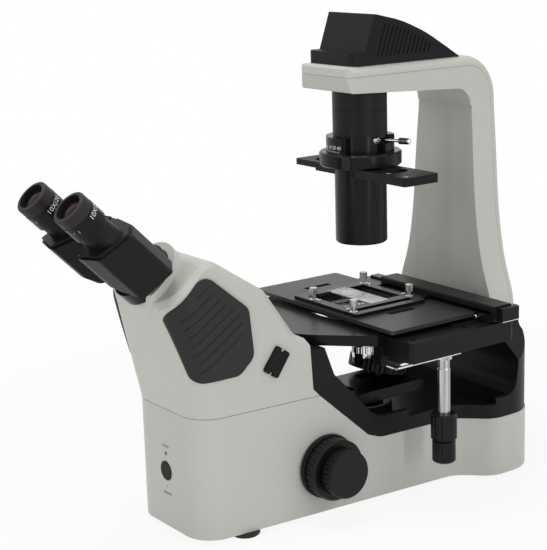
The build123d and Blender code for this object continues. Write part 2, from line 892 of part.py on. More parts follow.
def condenser_mount():
    tube = rod(upper_tube_radius, upper_tube_bottom_z, arm_seam_z)
    tube -= rod(upper_tube_radius - tube_wall, upper_tube_bottom_z - overrun, arm_seam_z + overrun)
    ring = rod(upper_tube_radius + overrun, groove_z, groove_z + groove_width)
    return tube - (ring - rod(upper_tube_radius - groove_depth, groove_z - overrun, groove_z + overrun))


def sector(radius, angles, low, high):
    """A wedge of a cylinder between two angles from the X axis."""
    far = radius * 2
    start, end = angles
    step = (end - start) / sector_steps
    points = [(0, 0)] + [(far * cos(radians(start + k * step)), far * sin(radians(start + k * step)))
                         for k in range(sector_steps + 1)]
    return slab(make_face(Polyline(*points, close=True)), low, high)


def condenser_collar():
    low = slider_z[1] + slider_slot_clearance
    core = rod(collar_core_radius, low, upper_tube_bottom_z)
    flange = rod(flange_radius, *flange_z)
    flange = chamfer(flange.edges().filter_by(GeomType.CIRCLE), flange_bevel)
    ring = rod(collar_radius, flange_z[1], collar_top_z)
    ring -= sector(collar_radius, collar_gap_angles, flange_z[1], collar_top_z + overrun)
    swing = (iris_lever_angle - iris_swing - lever_clear_angle,
             iris_lever_angle + iris_swing + lever_clear_angle)
    slot = (iris_z[0] - iris_slot_gap, iris_z[1] + iris_slot_gap)
    ring -= sector(collar_radius, swing, slot[0], collar_top_z + overrun)
    body = core + flange + ring
    inner = collar_core_radius - tube_wall
    body -= rod(inner, low - overrun, upper_tube_bottom_z + overrun)
    body -= sector(collar_radius, swing, *slot) & rod(collar_radius + overrun, *slot)
    for angle in tab_angles:
        tab = Rot(0, 0, angle) * block((flange_radius - tab_proud, flange_radius + tab_proud),
                                       centred(0, tab_width), flange_z)
        body += tab
    return body


def condenser_tube():
    top = slider_z[1] + slider_slot_clearance - face_gap
    tube = rod(lower_tube_radius, lower_tube_bottom_z, top)
    tube = chamfer(tube.edges().group_by(Axis.Z)[0], knob_round)
    tube -= rod(lower_tube_radius - tube_wall, lower_tube_bottom_z - overrun, top + overrun)
    clear = slider_slot_clearance
    return tube - block(centred(0, cutter_share * flange_radius), centred(0, 2 * (slider_half + clear)),
                        (slider_z[0] - clear, top + overrun))


def condenser_lens():
    return lens(lower_tube_radius - tube_wall - fit_gap, condenser_lens_thickness,
                lower_tube_bottom_z + knob_round)


def iris_lever():
    ring = rod(collar_core_radius - tube_wall - iris_slot_gap / 2, *iris_z) - rod(
        iris_ring_hole, iris_z[0] - overrun, iris_z[1] + overrun)
    turn = Rot(0, 0, iris_lever_angle)
    middle = (iris_z[0] + iris_z[1]) / 2
    stalk = cross_rod(lever_rod_radius, iris_ring_hole + overrun, lever_reach, (0, middle))
    grip = cross_rod(lever_grip_radius, lever_reach - lever_grip_length, lever_reach, (0, middle))
    grip = chamfer(grip.edges().filter_by(GeomType.CIRCLE), lever_grip_radius / lever_edge_share)
    return ring + turn * (stalk + grip)


def phase_slider():
    body = block(slider_x, centred(0, 2 * slider_half), slider_z)
    body = fillet(body.edges().filter_by(Axis.Z), slider_corner_round)
    body -= block((slider_step_x[0] - overrun, slider_step_x[1]), centred(0, through_share * slider_half),
                  (slider_z[0] - overrun, slider_z[0] + slider_step))
    for x in slider_holes_x:
        body -= rod(slider_hole_radius, slider_z[0] - overrun, slider_z[1] + overrun, (x, 0))
    return body


def drive_unit():
    body = block(drive_x, drive_y, drive_z)
    outer = [e for e in body.edges().filter_by(Axis.Z) if e.center().X > knob_axis[0]]
    body = fillet(outer, drive_corner_round)
    ridge = block(centred(strip_centre_x, guide_width), (knob_axis[1] + 2 * knob_flange_radius, drive_y[1]),
                  (drive_z[1], drive_z[1] + guide_height))
    bracket = block((drive_x[0] - bracket_width, drive_x[0]), bracket_y,
                    (drive_z[0] - bracket_drop, frame_top_z))
    body += ridge + bracket
    body -= rod(knob_sleeve_radius + fit_gap, drive_z[0] - overrun, drive_z[0] + knob_seat_depth, knob_axis)
    for place in case_screw_places:
        body -= rod(case_screw_radius, drive_z[1] - case_screw_height, drive_z[1] + overrun, place)
    return body


def drive_rail():
    strip = block(centred(strip_centre_x, 2 * strip_half), strip_y,
                  (drive_z[0] - strip_thickness, drive_z[0]))
    return strip - rod(knob_flange_radius + face_gap, drive_z[0] - overrun, drive_z[0] + overrun, knob_axis)


def case_screws():
    group = []
    for place in case_screw_places:
        screw = rod(case_screw_radius - fit_gap, drive_z[1] - case_screw_height, drive_z[1], place)
        socket = Pos(*place, drive_z[1] - case_screw_height / 2) * extrude(
            RegularPolygon(case_screw_socket, socket_sides), amount=case_screw_height)
        group.append(screw - socket)
    return Compound(children=group)


def stage_knob(radius, heights):
    low, high = heights
    knob = grip_knob(radius, knob_rib_depth, knob_rib_count, high - low, knob_round)
    return Pos(*knob_axis, (low + high) / 2) * knob


def y_knob():
    body = stage_knob(knob_upper_radius, knob_upper_z)
    return body - rod(knob_sleeve_radius + fit_gap, knob_upper_z[0] - overrun, knob_upper_z[1] + overrun,
                      knob_axis)


def y_sleeve():
    """The plated hollow shaft that the upper stage knob turns."""
    top = drive_z[0] + knob_seat_depth - face_gap
    body = rod(knob_sleeve_radius, knob_upper_z[0], top, knob_axis)
    body += rod(knob_flange_radius, drive_z[0] - strip_thickness - knob_flange_thickness,
                drive_z[0] - face_gap, knob_axis)
    return body - rod(knob_shaft_radius + fit_gap, knob_upper_z[0] - overrun, top + overrun, knob_axis)


def x_knob():
    body = stage_knob(knob_lower_radius, knob_lower_z)
    return body + rod(knob_shaft_radius, knob_lower_z[0] + knob_round,
                      drive_z[0] + knob_seat_depth - face_gap, knob_axis)


def stage_plate():
    low = plate_top_z - stage_plate_thickness
    plate = block((-stage_plate_half, stage_plate_half), (stage_plate_front_y, rail_y[0]),
                  (low, plate_top_z))
    plate = fillet(plate.edges().filter_by(Axis.Z), stage_plate_round)
    plate -= block(window_x, window_y, (low - overrun, plate_top_z + overrun))
    for x in plate_slots_x:
        plate -= block(centred(x, plate_slot_width), centred(0, plate_slot_length),
                       (low - overrun, plate_top_z + overrun))
    return plate


def x_rail():
    body = block(rail_x, rail_y, rail_z)
    top_edges = [e for e in body.edges().filter_by(Axis.X) if e.center().Z > rail_z[1] - face_gap]
    body = chamfer(top_edges, rail_chamfer)
    body += block(rail_foot_x, rail_y, (drive_z[1] + face_gap, rail_z[0]))
    body += block(rail_skid_x, rail_y, (frame_top_z + deck_thickness + face_gap, rail_z[0]))
    body += block(rail_bracket_x, rail_bracket_y, rail_bracket_z)
    body -= block(centred(strip_centre_x, guide_width + 2 * face_gap),
                  (rail_y[0] - overrun, rail_y[1] + overrun),
                  (drive_z[1], drive_z[1] + guide_height + face_gap))
    channel_y = channel_range()
    body -= block((rail_x[0] - overrun, rail_x[1] - wall), channel_y, channel_heights())
    slot = (holder_low_z() - slide_gap / 2, holder_low_z() + holder_thickness + slide_gap / 2)
    return body - block((rail_x[0] - overrun, rail_x[1] - wall),
                        (rail_y[0] - overrun, channel_y[1]), slot)


def channel_range():
    return centred((rail_y[0] + rail_y[1]) / 2, rail_channel_width)


def channel_heights():
    return centred(holder_low_z() + holder_thickness / 2, rail_channel_height)


def holder_low_z():
    return plate_top_z + slide_gap


def slide_bar():
    near, far = channel_range()
    low, high = channel_heights()
    return block((bar_start_x, bar_start_x + bar_length), (near + face_gap, far - face_gap),
                 (low + face_gap, high - face_gap))


def slide_recess(gap):
    """The room of the glass slide, with clearance round it."""
    top = holder_low_z() + holder_thickness
    return block(centred(slide_centre[0], slide_length + gap), centred(slide_centre[1], slide_width + gap),
                 (top - slide_thickness, top))


def slide_holder():
    """An open frame with two cross bars that carry the ends of the glass slide."""
    low = holder_low_z()
    high = low + holder_thickness
    body = block(holder_x, holder_y, (low, high))
    body = fillet(body.edges().filter_by(Axis.Z), stage_plate_round)
    body -= block((holder_x[0] + holder_rim, holder_x[1] - holder_rim),
                  (holder_y[0] + holder_rim, holder_y[1] - holder_rim), (low - overrun, high + overrun))
    for side in (1, -1):
        bar_x = slide_centre[0] + side * slide_length / 2
        body += block(centred(bar_x, holder_bar_width),
                      (holder_y[0] + holder_rim / 2, holder_y[1] - holder_rim / 2), (low, high))
    for tongue_x in holder_tongues:
        body += block(tongue_x, (holder_y[1] - holder_rim, channel_range()[0] + face_gap), (low, high))
    body -= slide_recess(slide_gap)
    return body - block(centred(slide_centre[0], slide_length - 2 * slide_ledge),
                        centred(slide_centre[1], slide_width - 2 * slide_ledge),
                        (low - overrun, high + overrun))


def glass_slide():
    return slide_recess(0.0)


def holder_screws():
    low = holder_low_z() + holder_thickness
    group = []
    for place in screw_places:
        neck = rod(screw_neck_radius, low, low + screw_neck_height, place)
        disc = ribbed_disc(screw_head_radius, screw_rib_depth, screw_rib_count, screw_head_height)
        head = Pos(*place, low + screw_neck_height + screw_head_height / 2) * disc
        group.append(neck + head)
    return Compound(children=group)


def wall_stack(start, width, side):
    """The X range of a knob that stands off the side wall, on one side."""
    wall_x = side_wall_x(focus_axis[0])
    low = wall_x + start
    return (low, low + width) if side > 0 else (-low - width, -low)


def coarse_start(side):
    return knob_gap * 2 + (tension_ring_width if side > 0 else 0)


def fine_start(side):
    return coarse_start(side) + coarse_width + knob_gap


def tension_ring():
    low, high = wall_stack(knob_gap, tension_ring_width, 1)
    ring = cross_rod(tension_ring_radius, low, high, focus_axis)
    ring = chamfer(ring.edges().filter_by(GeomType.CIRCLE), knob_edge_round / 2)
    return ring - cross_rod(bush_radius + face_gap, low - overrun, high + overrun, focus_axis)


def focus_bushes():
    group = []
    for side in (1, -1):
        wall_x = side_wall_x(focus_axis[0])
        outer = knob_gap + (tension_ring_width if side > 0 else 0)
        ends = sorted((side * (wall_x + outer), side * (wall_x - bush_length)))
        bush = cross_rod(bush_radius, *ends, focus_axis)
        group.append(bush - cross_rod(coarse_sleeve_radius + fit_gap, ends[0] - overrun,
                                      ends[1] + overrun, focus_axis))
    return Compound(children=group)


def side_knob(radius, ends):
    """A focus knob on the cross axis."""
    low, high = ends
    knob = grip_knob(radius, grip_depth, grip_count, high - low, knob_edge_round)
    return Pos((low + high) / 2, *focus_axis) * Rot(0, 90, 0) * knob


def coarse_knobs():
    group = []
    for side in (1, -1):
        ends = wall_stack(coarse_start(side), coarse_width, side)
        knob = side_knob(coarse_radius, ends)
        group.append(knob - cross_rod(coarse_sleeve_radius, ends[0] - overrun, ends[1] + overrun,
                                      focus_axis))
    return Compound(children=group)


def pinion_face():
    half = pinion_tooth_depth / 2
    low, high = pinion_radius - half, pinion_radius + half
    return toothed((low, high, high, low), tooth_shares, pinion_teeth)


def coarse_sleeve():
    low = wall_stack(fine_start(-1) - knob_gap, 0, -1)[0]
    high = wall_stack(fine_start(1) - knob_gap, 0, 1)[0]
    body = cross_rod(coarse_sleeve_radius, low, high, focus_axis)
    pinion = extrude(pinion_face(), amount=pinion_width / 2, both=True)
    body += Pos(carriage_x, *focus_axis) * Rot(0, 90, 0) * pinion
    return body - cross_rod(fine_shaft_radius + fit_gap, low - overrun, high + overrun, focus_axis)


def fine_knobs():
    group = []
    for side in (1, -1):
        ends = wall_stack(fine_start(side), fine_width, side)
        knob = side_knob(fine_radius, ends)
        group.append(knob - cross_rod(fine_shaft_radius, *fine_bore(ends, side), focus_axis))
    return Compound(children=group)


def fine_bore(ends, side):
    """The blind bore of a fine knob, open towards the stand."""
    if side > 0:
        return (ends[0] - overrun, ends[1] - wall)
    return (ends[0] + wall, ends[1] + overrun)


def fine_shaft():
    low = fine_bore(wall_stack(fine_start(-1), fine_width, -1), -1)[0]
    high = fine_bore(wall_stack(fine_start(1), fine_width, 1), 1)[1]
    return cross_rod(fine_shaft_radius, low, high, focus_axis)


def focus_guide():
    near = rack_face_y() - slide_gap - guide_thickness
    return block(centred(carriage_x, carriage_width - 2 * slide_gap), (near, near + guide_thickness),
                 guide_z)


def turret_seat_z():
    return objective_top_z - objective_length


def turret_plane():
    """The frame of the turret: origin in its centre, z along its tilted axis."""
    tilt = radians(turret_tilt)
    centre = (0, turret_circle * cos(tilt), turret_seat_z() - turret_circle * sin(tilt))
    return Plane(origin=centre, x_dir=(1, 0, 0), z_dir=(0, sin(tilt), cos(tilt)))


def objective_place(angle):
    """The turret position at an angle, with its own z along the objective's axis."""
    turn = Rot(0, 0, angle)
    lean = Rot(-turret_tilt, 0, 0)
    return turret_plane().location * turn * Pos(0, -turret_circle, 0) * lean.inverse()


def turret():
    """A tilted disc with one square seat for each objective, turning on its hub."""
    disc = Pos(0, 0, -turret_thickness / 2) * ribbed_disc(turret_radius, grip_depth, turret_rib_count,
                                                           turret_thickness)
    hub = Pos(0, 0, -turret_thickness - turret_hub_length / 2) * Cylinder(turret_hub_radius,
                                                                         turret_hub_length)
    seat_depth = turret_thickness / 2
    boss = Pos(0, 0, -seat_depth / 2) * Cylinder(objective_radius, seat_depth)
    room = Pos(0, 0, seat_depth / 2) * Cylinder(objective_radius + slide_gap, seat_depth)
    bore = Cylinder(objective_thread_radius + fit_gap, cutter_share * turret_thickness)
    places = [objective_place(angle) for angle in objective_angles]
    body = turret_plane().location * (disc + hub)
    body += [place * boss for place in places]
    return body - [place * (room + bore) for place in places]


def objective(index):
    length = objective_length * objective_shares[index]
    barrel_length = length * objective_barrel_share
    thread = Pos(0, 0, -objective_thread_length / 2) * Cylinder(objective_thread_radius,
                                                                objective_thread_length)
    barrel = Pos(0, 0, barrel_length / 2) * Cylinder(objective_radius, barrel_length)
    nose = Pos(0, 0, (length + barrel_length) / 2) * Cone(objective_radius, objective_nose_radius,
                                                          length - barrel_length)
    band = Pos(0, 0, barrel_length * objective_band_share) * ribbed_disc(
        objective_radius + grip_depth, grip_depth / 2, objective_rib_count, objective_band_width)
    bore = Cylinder(objective_bore_radius, through_share * objective_length)
    return objective_place(objective_angles[index]) * (thread + barrel + nose + band - bore)


def nosepiece_carriage():
    face = rack_face_y()
    column = block(carriage_span(), (face, face + carriage_depth), carriage_z)
    for k in range(rack_tooth_count):
        z = carriage_z[0] + (k + tooth_shares[1]) * rack_pitch()
        notch = Pos(carriage_x, face, z) * Rot(45, 0, 0) * Box(pinion_width + 2 * wall,
                                                               pinion_tooth_depth, pinion_tooth_depth)
        column -= notch
    seat = turret_plane().origin
    link = block(carriage_span(), (face + carriage_depth, well_rear_y + carriage_depth), nose_arm_z)
    plate_x = (-nose_arm_half, carriage_span()[1])
    plate = block(plate_x, (well_rear_y + nose_plate_gap, seat.Y + nose_arm_half), nose_arm_z)
    above = turret_plane().location * Pos(0, 0, -turret_thickness - slide_gap + turret_radius) * Box(
        turret_clear_share * turret_radius, turret_clear_share * turret_radius, 2 * turret_radius)
    body = column + ((link + plate) - above)
    hub = Pos(0, 0, -turret_thickness - turret_hub_length) * Cylinder(
        turret_hub_radius + fit_gap, cutter_share * turret_hub_length)
    body -= turret_plane().location * hub
    return body - rod(objective_thread_radius, nose_arm_z[0] - overrun, nose_arm_z[1] + overrun)


def rack_pitch():
    return 2 * pi * pinion_radius / pinion_teeth


def fold_mirror():
    low = base_bottom_z + plate_thickness
    half = mirror_block_half
    face = Polygon((-half, low), (half, low), (half, mirror_high_z),
                   (mirror_high_z - mirror_low_z - half, mirror_high_z), (-half, mirror_low_z), align=None)
    stand = side_prism(face, half)
    run = mirror_high_z - mirror_low_z
    glass = Polygon((-half, mirror_low_z), (run - half, mirror_high_z),
                    (run - half - mirror_thickness, mirror_high_z),
                    (-half - mirror_thickness, mirror_low_z), align=None)
    return Compound(children=[stand, side_prism(glass, half - wall)])


def relay_tube():
    reach = relay_tube_top - relay_tube_bottom
    middle = Pos(0, hinge_height, relay_tube_bottom + reach / 2)
    tube = middle * Cylinder(relay_tube_radius, reach)
    tube -= middle * Cylinder(relay_tube_radius - relay_tube_wall, reach + overrun)
    return on_head(tube)


def fixed_lenses():
    """The collector, the condenser lens and the lenses of the inclined light path."""
    reach = relay_tube_top - relay_tube_bottom
    radius = relay_tube_radius - relay_tube_wall - fit_gap
    group = [collector_lens(), condenser_lens()]
    for share in relay_lens_shares:
        low = relay_tube_bottom + (reach - relay_lens_thickness) * share
        group.append(on_head(Pos(0, hinge_height) * lens(radius, relay_lens_thickness, low)))
    return Compound(children=group)


def electronics():
    """Driver board on posts with its front switch, and the power supply behind it."""
    floor = base_bottom_z + plate_thickness
    x_span, y_span = centred(board_centre[0], board_size[0]), centred(board_centre[1], board_size[1])
    board = block(x_span, y_span, (board_z, board_z + board_size[2]))
    group = [board]
    for x in x_span:
        for y in y_span:
            inward = (x + (wall if x < board_centre[0] else -wall),
                      y + (wall if y < board_centre[1] else -wall))
            group.append(rod(board_post_radius, floor, board_z, inward))
    behind = base_front_y + button_depth + button_travel + face_gap
    switch = block(centred(0, switch_size[0]), (behind, behind + switch_size[1]),
                   (floor, button_centre_z + switch_size[2] / 2))
    supply = block(centred(supply_centre[0], supply_size[0]), centred(supply_centre[1], supply_size[1]),
                   (floor, floor + supply_size[2]))
    return Compound(children=group + [switch, supply])


def power_inlet():
    x, z = inlet_centre
    flange = block(centred(x, inlet_size[0]), (base_rear_y, base_rear_y + inlet_flange),
                   centred(z, inlet_size[1]))
    flange = fillet(flange.edges().filter_by(Axis.Y), wall)
    body = block(centred(x, inlet_mouth[0] + wall), (base_rear_y - inlet_depth, base_rear_y),
                 centred(z, inlet_mouth[1] + inlet_flange))
    mouth = block(centred(x, inlet_mouth[0]), (base_rear_y - inlet_depth + wall, base_rear_y + overrun),
                  centred(z, inlet_mouth[1]))
    body = flange + body - mouth
    for dx, dz in ((-1, 0), (0, 1), (1, 0)):
        place = (x + dx * inlet_mouth[0] / inlet_pin_shares[0],
                 z + dz * inlet_mouth[1] / inlet_pin_shares[1])
        pin = Pos(place[0], base_rear_y - inlet_depth / 2, place[1]) * Rot(90, 0, 0) * Cylinder(
            inlet_pin_radius, inlet_depth - wall / 2)
        body += pin
    return body


def power_button():
    body = front_rod(button_radius, button_depth, button_centre_z, button_proud)
    outer = body.edges().group_by(Axis.Y)[0]
    return fillet(outer, button_proud / 2)


def power_led():
    body = front_rod(led_radius, button_depth, led_centre_z)
    return body


def head_mount():
    flange_top = neck_face + mount_flange_thickness
    body = Pos(0, 0, (neck_face + flange_top) / 2) * Cylinder(mount_flange_radius, mount_flange_thickness)
    body += Pos(0, 0, neck_face - mount_boss_length / 2) * Cylinder(mount_boss_radius, mount_boss_length)
    pin_end = knuckle_range(-1)[1]
    body += Pos(0, 0, (neck_face + pin_end) / 2) * Cylinder(hinge_pin_radius, pin_end - neck_face)
    body -= Pos(0, 0, (neck_face - mount_boss_length + pin_end) / 2) * Cylinder(
        mount_light_radius, pin_end - neck_face + 2 * mount_boss_length)
    return on_head(Pos(0, hinge_height) * body)


def knuckle_range(side):
    """Where each half of the head grips the hinge pin, the right half nearer the stand."""
    start = head_body_back + (0 if side > 0 else knuckle_length + knuckle_gap)
    return (start, start + knuckle_length)


def head_side_view(proud=0.0):
    """Side view of a head half: both ends lean and the belly curves up towards the stand."""
    low = head_belly - overrun
    top = head_ridge + overrun
    front = tan(radians(head_front_lean))
    back = tan(radians(head_back_lean))
    near = head_body_front + proud
    points = ((low, near - (low - head_bottom) * front), (top, near - (top - head_bottom) * front),
              (top, head_back_low - (top - head_bottom) * back), (head_bottom, head_back_low),
              (low, head_belly_turn))
    return outline(points, (0, 0, 0, head_back_round, head_belly_round))


def head_half(side):
    up = head_ridge - hinge_height
    down = hinge_height - head_belly
    points = ((head_split, hinge_height), (head_split + down * tan(radians(head_swing_down)), head_belly),
              (head_belly_half, head_belly), (head_half_width, head_bottom), (head_half_width, head_top),
              (head_shoulder_half, head_shoulder),
              (head_split + up * tan(radians(head_swing_up)), head_ridge))
    face = outline(points, (0, 0, 0, head_corner_round, head_corner_round, head_corner_round, 0))
    reach = head_body_front + head_rim - head_body_back
    block_part = Pos(0, 0, head_body_back) * extrude(face, amount=reach + head_rim)
    rim_face = offset(face, amount=-head_rim_inset)
    rim_part = Pos(0, 0, head_body_back) * extrude(rim_face, amount=reach + head_rim)
    body = block_part & side_prism(head_side_view(), 2 * head_half_width)
    body += rim_part & side_prism(head_side_view(head_rim), 2 * head_half_width)
    tube_length = tube_front - tube_root
    body += Pos(eye_half_spacing, 0, tube_root + tube_length / 2) * Cylinder(tube_radius, tube_length)
    collar_length = tube_collar_front - tube_root
    body += Pos(eye_half_spacing, 0, tube_root + collar_length / 2) * Cone(tube_collar_radius, tube_radius,
                                                                          collar_length)
    bore = tube_front - head_bore_front
    body -= Pos(eye_half_spacing, 0, head_bore_front + bore / 2) * Cylinder(tube_bore_radius, bore)
    own = knuckle_range(side)
    other = knuckle_range(-side)
    knuckle = Pos(0, hinge_height, sum(own) / 2) * Cylinder(knuckle_radius, knuckle_length)
    room = Pos(0, hinge_height, sum(other) / 2) * Cylinder(knuckle_radius + knuckle_gap,
                                                           knuckle_length + 2 * knuckle_gap)
    body = body - room + knuckle
    pin_end = knuckle_range(-1)[1] + face_gap
    body -= Pos(0, hinge_height, (head_body_back - overrun + pin_end) / 2) * Cylinder(
        hinge_pin_radius + fit_gap, pin_end - head_body_back + overrun)
    half = on_head(body)
    return half if side > 0 else mirror(half, Plane.YZ)


def on_eye(shape, side):
    """Something drawn round the eyepiece axis, set on one side of the head."""
    placed = on_head(Pos(eye_half_spacing, 0, 0) * shape)
    return placed if side > 0 else mirror(placed, Plane.YZ)


def eyepiece(side):
    seat = tube_front + face_gap
    barrel = Pos(0, 0, (seat + eyepiece_barrel_front) / 2) * Cylinder(eyepiece_barrel_radius,
                                                                     eyepiece_barrel_front - seat)
    barrel = chamfer(barrel.edges().group_by(Axis.Z)[0], face_gap)
    sleeve = Pos(0, 0, seat - eyepiece_sleeve_length / 2) * Cylinder(eyepiece_sleeve_radius,
                                                                    eyepiece_sleeve_length)
    body = barrel + sleeve
    low = seat - eyepiece_sleeve_length
    bore = eyepiece_barrel_front - low
    body -= Pos(0, 0, low + bore / 2) * Cylinder(eyepiece_sleeve_radius - relay_tube_wall / 2, 2 * bore)
    return on_eye(body, side)


def eyecup(side):
    depth = -eyepiece_barrel_front
    cup = Pos(0, 0, -depth / 2) * Cylinder(eyecup_radius, depth)
    cup = fillet(cup.edges().group_by(Axis.Z)[-1], eyecup_lip)
    cup -= Pos(0, 0, eye_lens_seat() + depth / 2) * Cylinder(eyecup_mouth_radius, depth)
    throat = Pos(0, 0, -depth / 2) * Cylinder(eye_lens_radius - eyecup_lip, through_share * depth)
    return on_eye(cup - throat, side)


def eye_lens_seat():
    return -eye_lens_depth


def eye_lens(side):
    seat = eye_lens_seat()
    glass = lens(eye_lens_radius, eye_lens_thickness, seat)
    return on_eye(glass, side)


def export_all(parts):
    os.makedirs("parts", exist_ok=True)
    for name, shape in parts.items():
        export_step(shape, f"parts/{name}.step")


def all_parts():
    sides = {"right": 1, "left": -1}
    single = (lower_housing, bottom_plate, feet, front_housing, side_pads, side_plug, stage_frame,
              stage_deck, stage_insert, arm_casting, arm_cover, lamp_housing, led_module,
              fixed_lenses, condenser_mount, condenser_collar, condenser_tube,
              iris_lever, phase_slider, drive_unit, drive_rail, case_screws, y_knob, y_sleeve, x_knob,
              stage_plate, x_rail, slide_bar, slide_holder, glass_slide, holder_screws,
              tension_ring, focus_bushes, coarse_knobs, coarse_sleeve, fine_knobs, fine_shaft,
              focus_guide, nosepiece_carriage, turret, fold_mirror, relay_tube,
              electronics, power_inlet, power_button, power_led, head_mount)
    parts = {make.__name__: make() for make in single}
    for index, name in enumerate(objective_names):
        parts[name] = objective(index)
    for name, side in sides.items():
        parts["head_" + name] = head_half(side)
        parts["eyepiece_" + name] = eyepiece(side)
        parts["eyecup_" + name] = eyecup(side)
        parts["eye_lens_" + name] = eye_lens(side)
    return parts


export_all(all_parts())
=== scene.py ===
# Looks of the inverted microscope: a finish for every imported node, the small printed and turned
# details that the solids leave out, and a plain studio with the photograph's camera.
import json
from math import cos, pi, radians, sin

import bmesh
import bpy
from mathutils import Matrix, Vector


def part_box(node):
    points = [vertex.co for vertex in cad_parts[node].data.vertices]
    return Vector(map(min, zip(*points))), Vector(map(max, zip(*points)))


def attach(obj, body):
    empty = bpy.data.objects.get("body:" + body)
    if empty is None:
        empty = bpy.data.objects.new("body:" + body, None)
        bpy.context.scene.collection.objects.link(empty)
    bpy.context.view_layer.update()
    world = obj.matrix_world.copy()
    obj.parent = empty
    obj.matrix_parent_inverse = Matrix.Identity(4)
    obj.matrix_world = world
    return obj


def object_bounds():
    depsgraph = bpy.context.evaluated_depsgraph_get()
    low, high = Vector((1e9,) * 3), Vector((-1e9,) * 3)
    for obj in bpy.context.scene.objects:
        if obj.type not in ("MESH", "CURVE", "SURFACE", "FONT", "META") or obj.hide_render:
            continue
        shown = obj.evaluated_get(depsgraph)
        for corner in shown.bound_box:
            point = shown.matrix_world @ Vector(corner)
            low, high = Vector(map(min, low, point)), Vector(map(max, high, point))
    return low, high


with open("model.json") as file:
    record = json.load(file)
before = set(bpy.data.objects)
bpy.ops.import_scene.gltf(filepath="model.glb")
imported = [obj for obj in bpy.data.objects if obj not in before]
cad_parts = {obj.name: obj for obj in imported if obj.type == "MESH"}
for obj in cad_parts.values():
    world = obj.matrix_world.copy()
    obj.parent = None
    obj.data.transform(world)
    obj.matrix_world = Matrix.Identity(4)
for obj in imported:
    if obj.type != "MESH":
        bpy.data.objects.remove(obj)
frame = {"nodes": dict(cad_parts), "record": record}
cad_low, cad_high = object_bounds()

mm = 0.001
x_dir, y_dir, z_dir = Vector((1, 0, 0)), Vector((0, 1, 0)), Vector((0, 0, 1))
forward = Vector((0, -1, 0))
nodes_by_name = frame["nodes"]

# Photograph and camera: pixels, degrees and metres
photo_width = 547
photo_height = 550
photo_focal = 1504.4
camera_azimuth = 54.70
camera_elevation = 13.54
camera_roll = 1.705
camera_distance = 1.575
sighted_point = Vector((0.0, 0.0, 0.340))
sighted_pixel = (360.5, 165.0)
sensor_size = 36.0

# Studio. Lamps: name, power in watts, place, width and height in metres
world_level = 0.34
lamps = (
    ("side_lamp", 7.0, (1.95, 0.75, 1.45), 1.2, 1.2),
    ("front_lamp", 7.0, (-0.9, -2.2, 1.0), 1.1, 1.1),
    ("top_lamp", 23.0, (-0.15, -0.35, 2.3), 1.2, 1.2),
    ("left_strip", 3.5, (0.42, -1.75, 0.65), 0.14, 1.3),
    ("right_strip", 6.0, (1.75, -0.10, 0.65), 0.14, 1.3),
)
lamp_target = (0.0, -0.05, 0.22)
plain_white = (1.0, 1.0, 1.0, 1.0)

# Floor: up to the first fade distance it is mixed with this share of plain white, which rises
# to all of it at the second
floor_half = 3.0
floor_colour = (0.93, 0.93, 0.93)
floor_share = 0.88
floor_fade = (0.35, 0.95)

# Colours that more than one finish uses
warm_grey = (0.545, 0.540, 0.500)
warm_grey_light = (0.585, 0.580, 0.540)
black_low = (0.0040, 0.0040, 0.0044)
black_high = (0.0080, 0.0080, 0.0088)

# What every finish shares
grain_detail = 4.0
grain_ends = (0.3, 0.7)
gloss_spread = 0.06
gloss_least = 0.03
relief_detail = 3.0
relief_strength = 0.6
glass_clearness = 0.92
glass_index = 1.45

# Meshes and prints
weld_distance = 0.001 * mm
sort_digits = 4
letter_weld_parts = 1000
letter_smoothness = 3
bevel_share = 0.3
lathe_steps = 48
print_lift = 0.03 * mm
print_depth = 0.06 * mm
tick_width = 0.4 * mm

# Eyepieces: for each side the angle of the words and of its two setting lines, in degrees.
# A line is set back by its length divided by eye_tick_set_back
eye_words = "10X/20"
eye_print_size = 7.2 * mm
eye_print_along = -16.5 * mm
eye_level_point = Vector((0.0, -0.362, 0.350))
eyepiece_radius = 17.9 * mm
eye_prints = {"right": (40.0, (-46.0, -64.0)), "left": (18.0, (-68.0, -86.0))}
eye_tick = 3.2 * mm
eye_tick_set_back = 3

# Condenser collar: words and their angles in degrees, heights below its top
collar_radius = 35.5 * mm
collar_numbers = (("4", -110.0), ("10", -99.0), ("20", -88.0), ("40", -77.0))
collar_number_size = 5.2 * mm
collar_number_drop = 11.0 * mm
collar_tick_drop = 15.2 * mm
collar_tick_count = 16
collar_long_every = 5
collar_long_tick = 2.2 * mm
collar_short_tick = 1.3 * mm

# Front face: words, height and size
front_words = (("POWER", 89.5 * mm, 3.4 * mm), ("ON/OFF", 40.0 * mm, 4.4 * mm))
front_bar_z = 47.4 * mm
front_bar_length = 3.2 * mm

# Phase slider: words and their place along it, and the share of the way to its front edge
slider_number_size = 6.0 * mm
slider_numbers = (("10", 63.0 * mm), ("20", 90.0 * mm))
slider_print_share = 0.68

# Iris lever's sleeve
lever_angle = 21.0
lever_grip = (46.4 * mm, 56.4 * mm)
lever_grip_radius = 3.35 * mm
lever_grip_wall = 0.6 * mm
lever_groove_count = 5
lever_groove_depth = 0.25 * mm
lever_land = (0.15, 0.8)

# Seam of the housings: a dark strip along the joint, which paints the shade in its gap
seam_near = 0.02 * mm
seam_steep = 0.5
seam_proud = 0.05 * mm
seam_height = 0.45 * mm

# Slide holder
socket_screw_inset = 9.5 * mm
socket_screw_radius = 2.1 * mm
socket_screw_steps = 24
socket_rings = (3, 4)

# Stop and end plate of the rail
stop_radius = 2.3 * mm
stop_gap = 0.5 * mm
stop_z = 191.2 * mm
stop_centre = 0.2 * mm
stop_neck_share = 0.75
stop_chamfer_share = 0.85
stop_neck_end = 1.4 * mm
stop_head_start = 1.6 * mm
stop_head_end = 4.4 * mm
stop_length = 4.9 * mm
end_plate = 0.9 * mm
end_width = 6.8 * mm
end_length = 22.8 * mm
end_bottom_z = 189.5 * mm

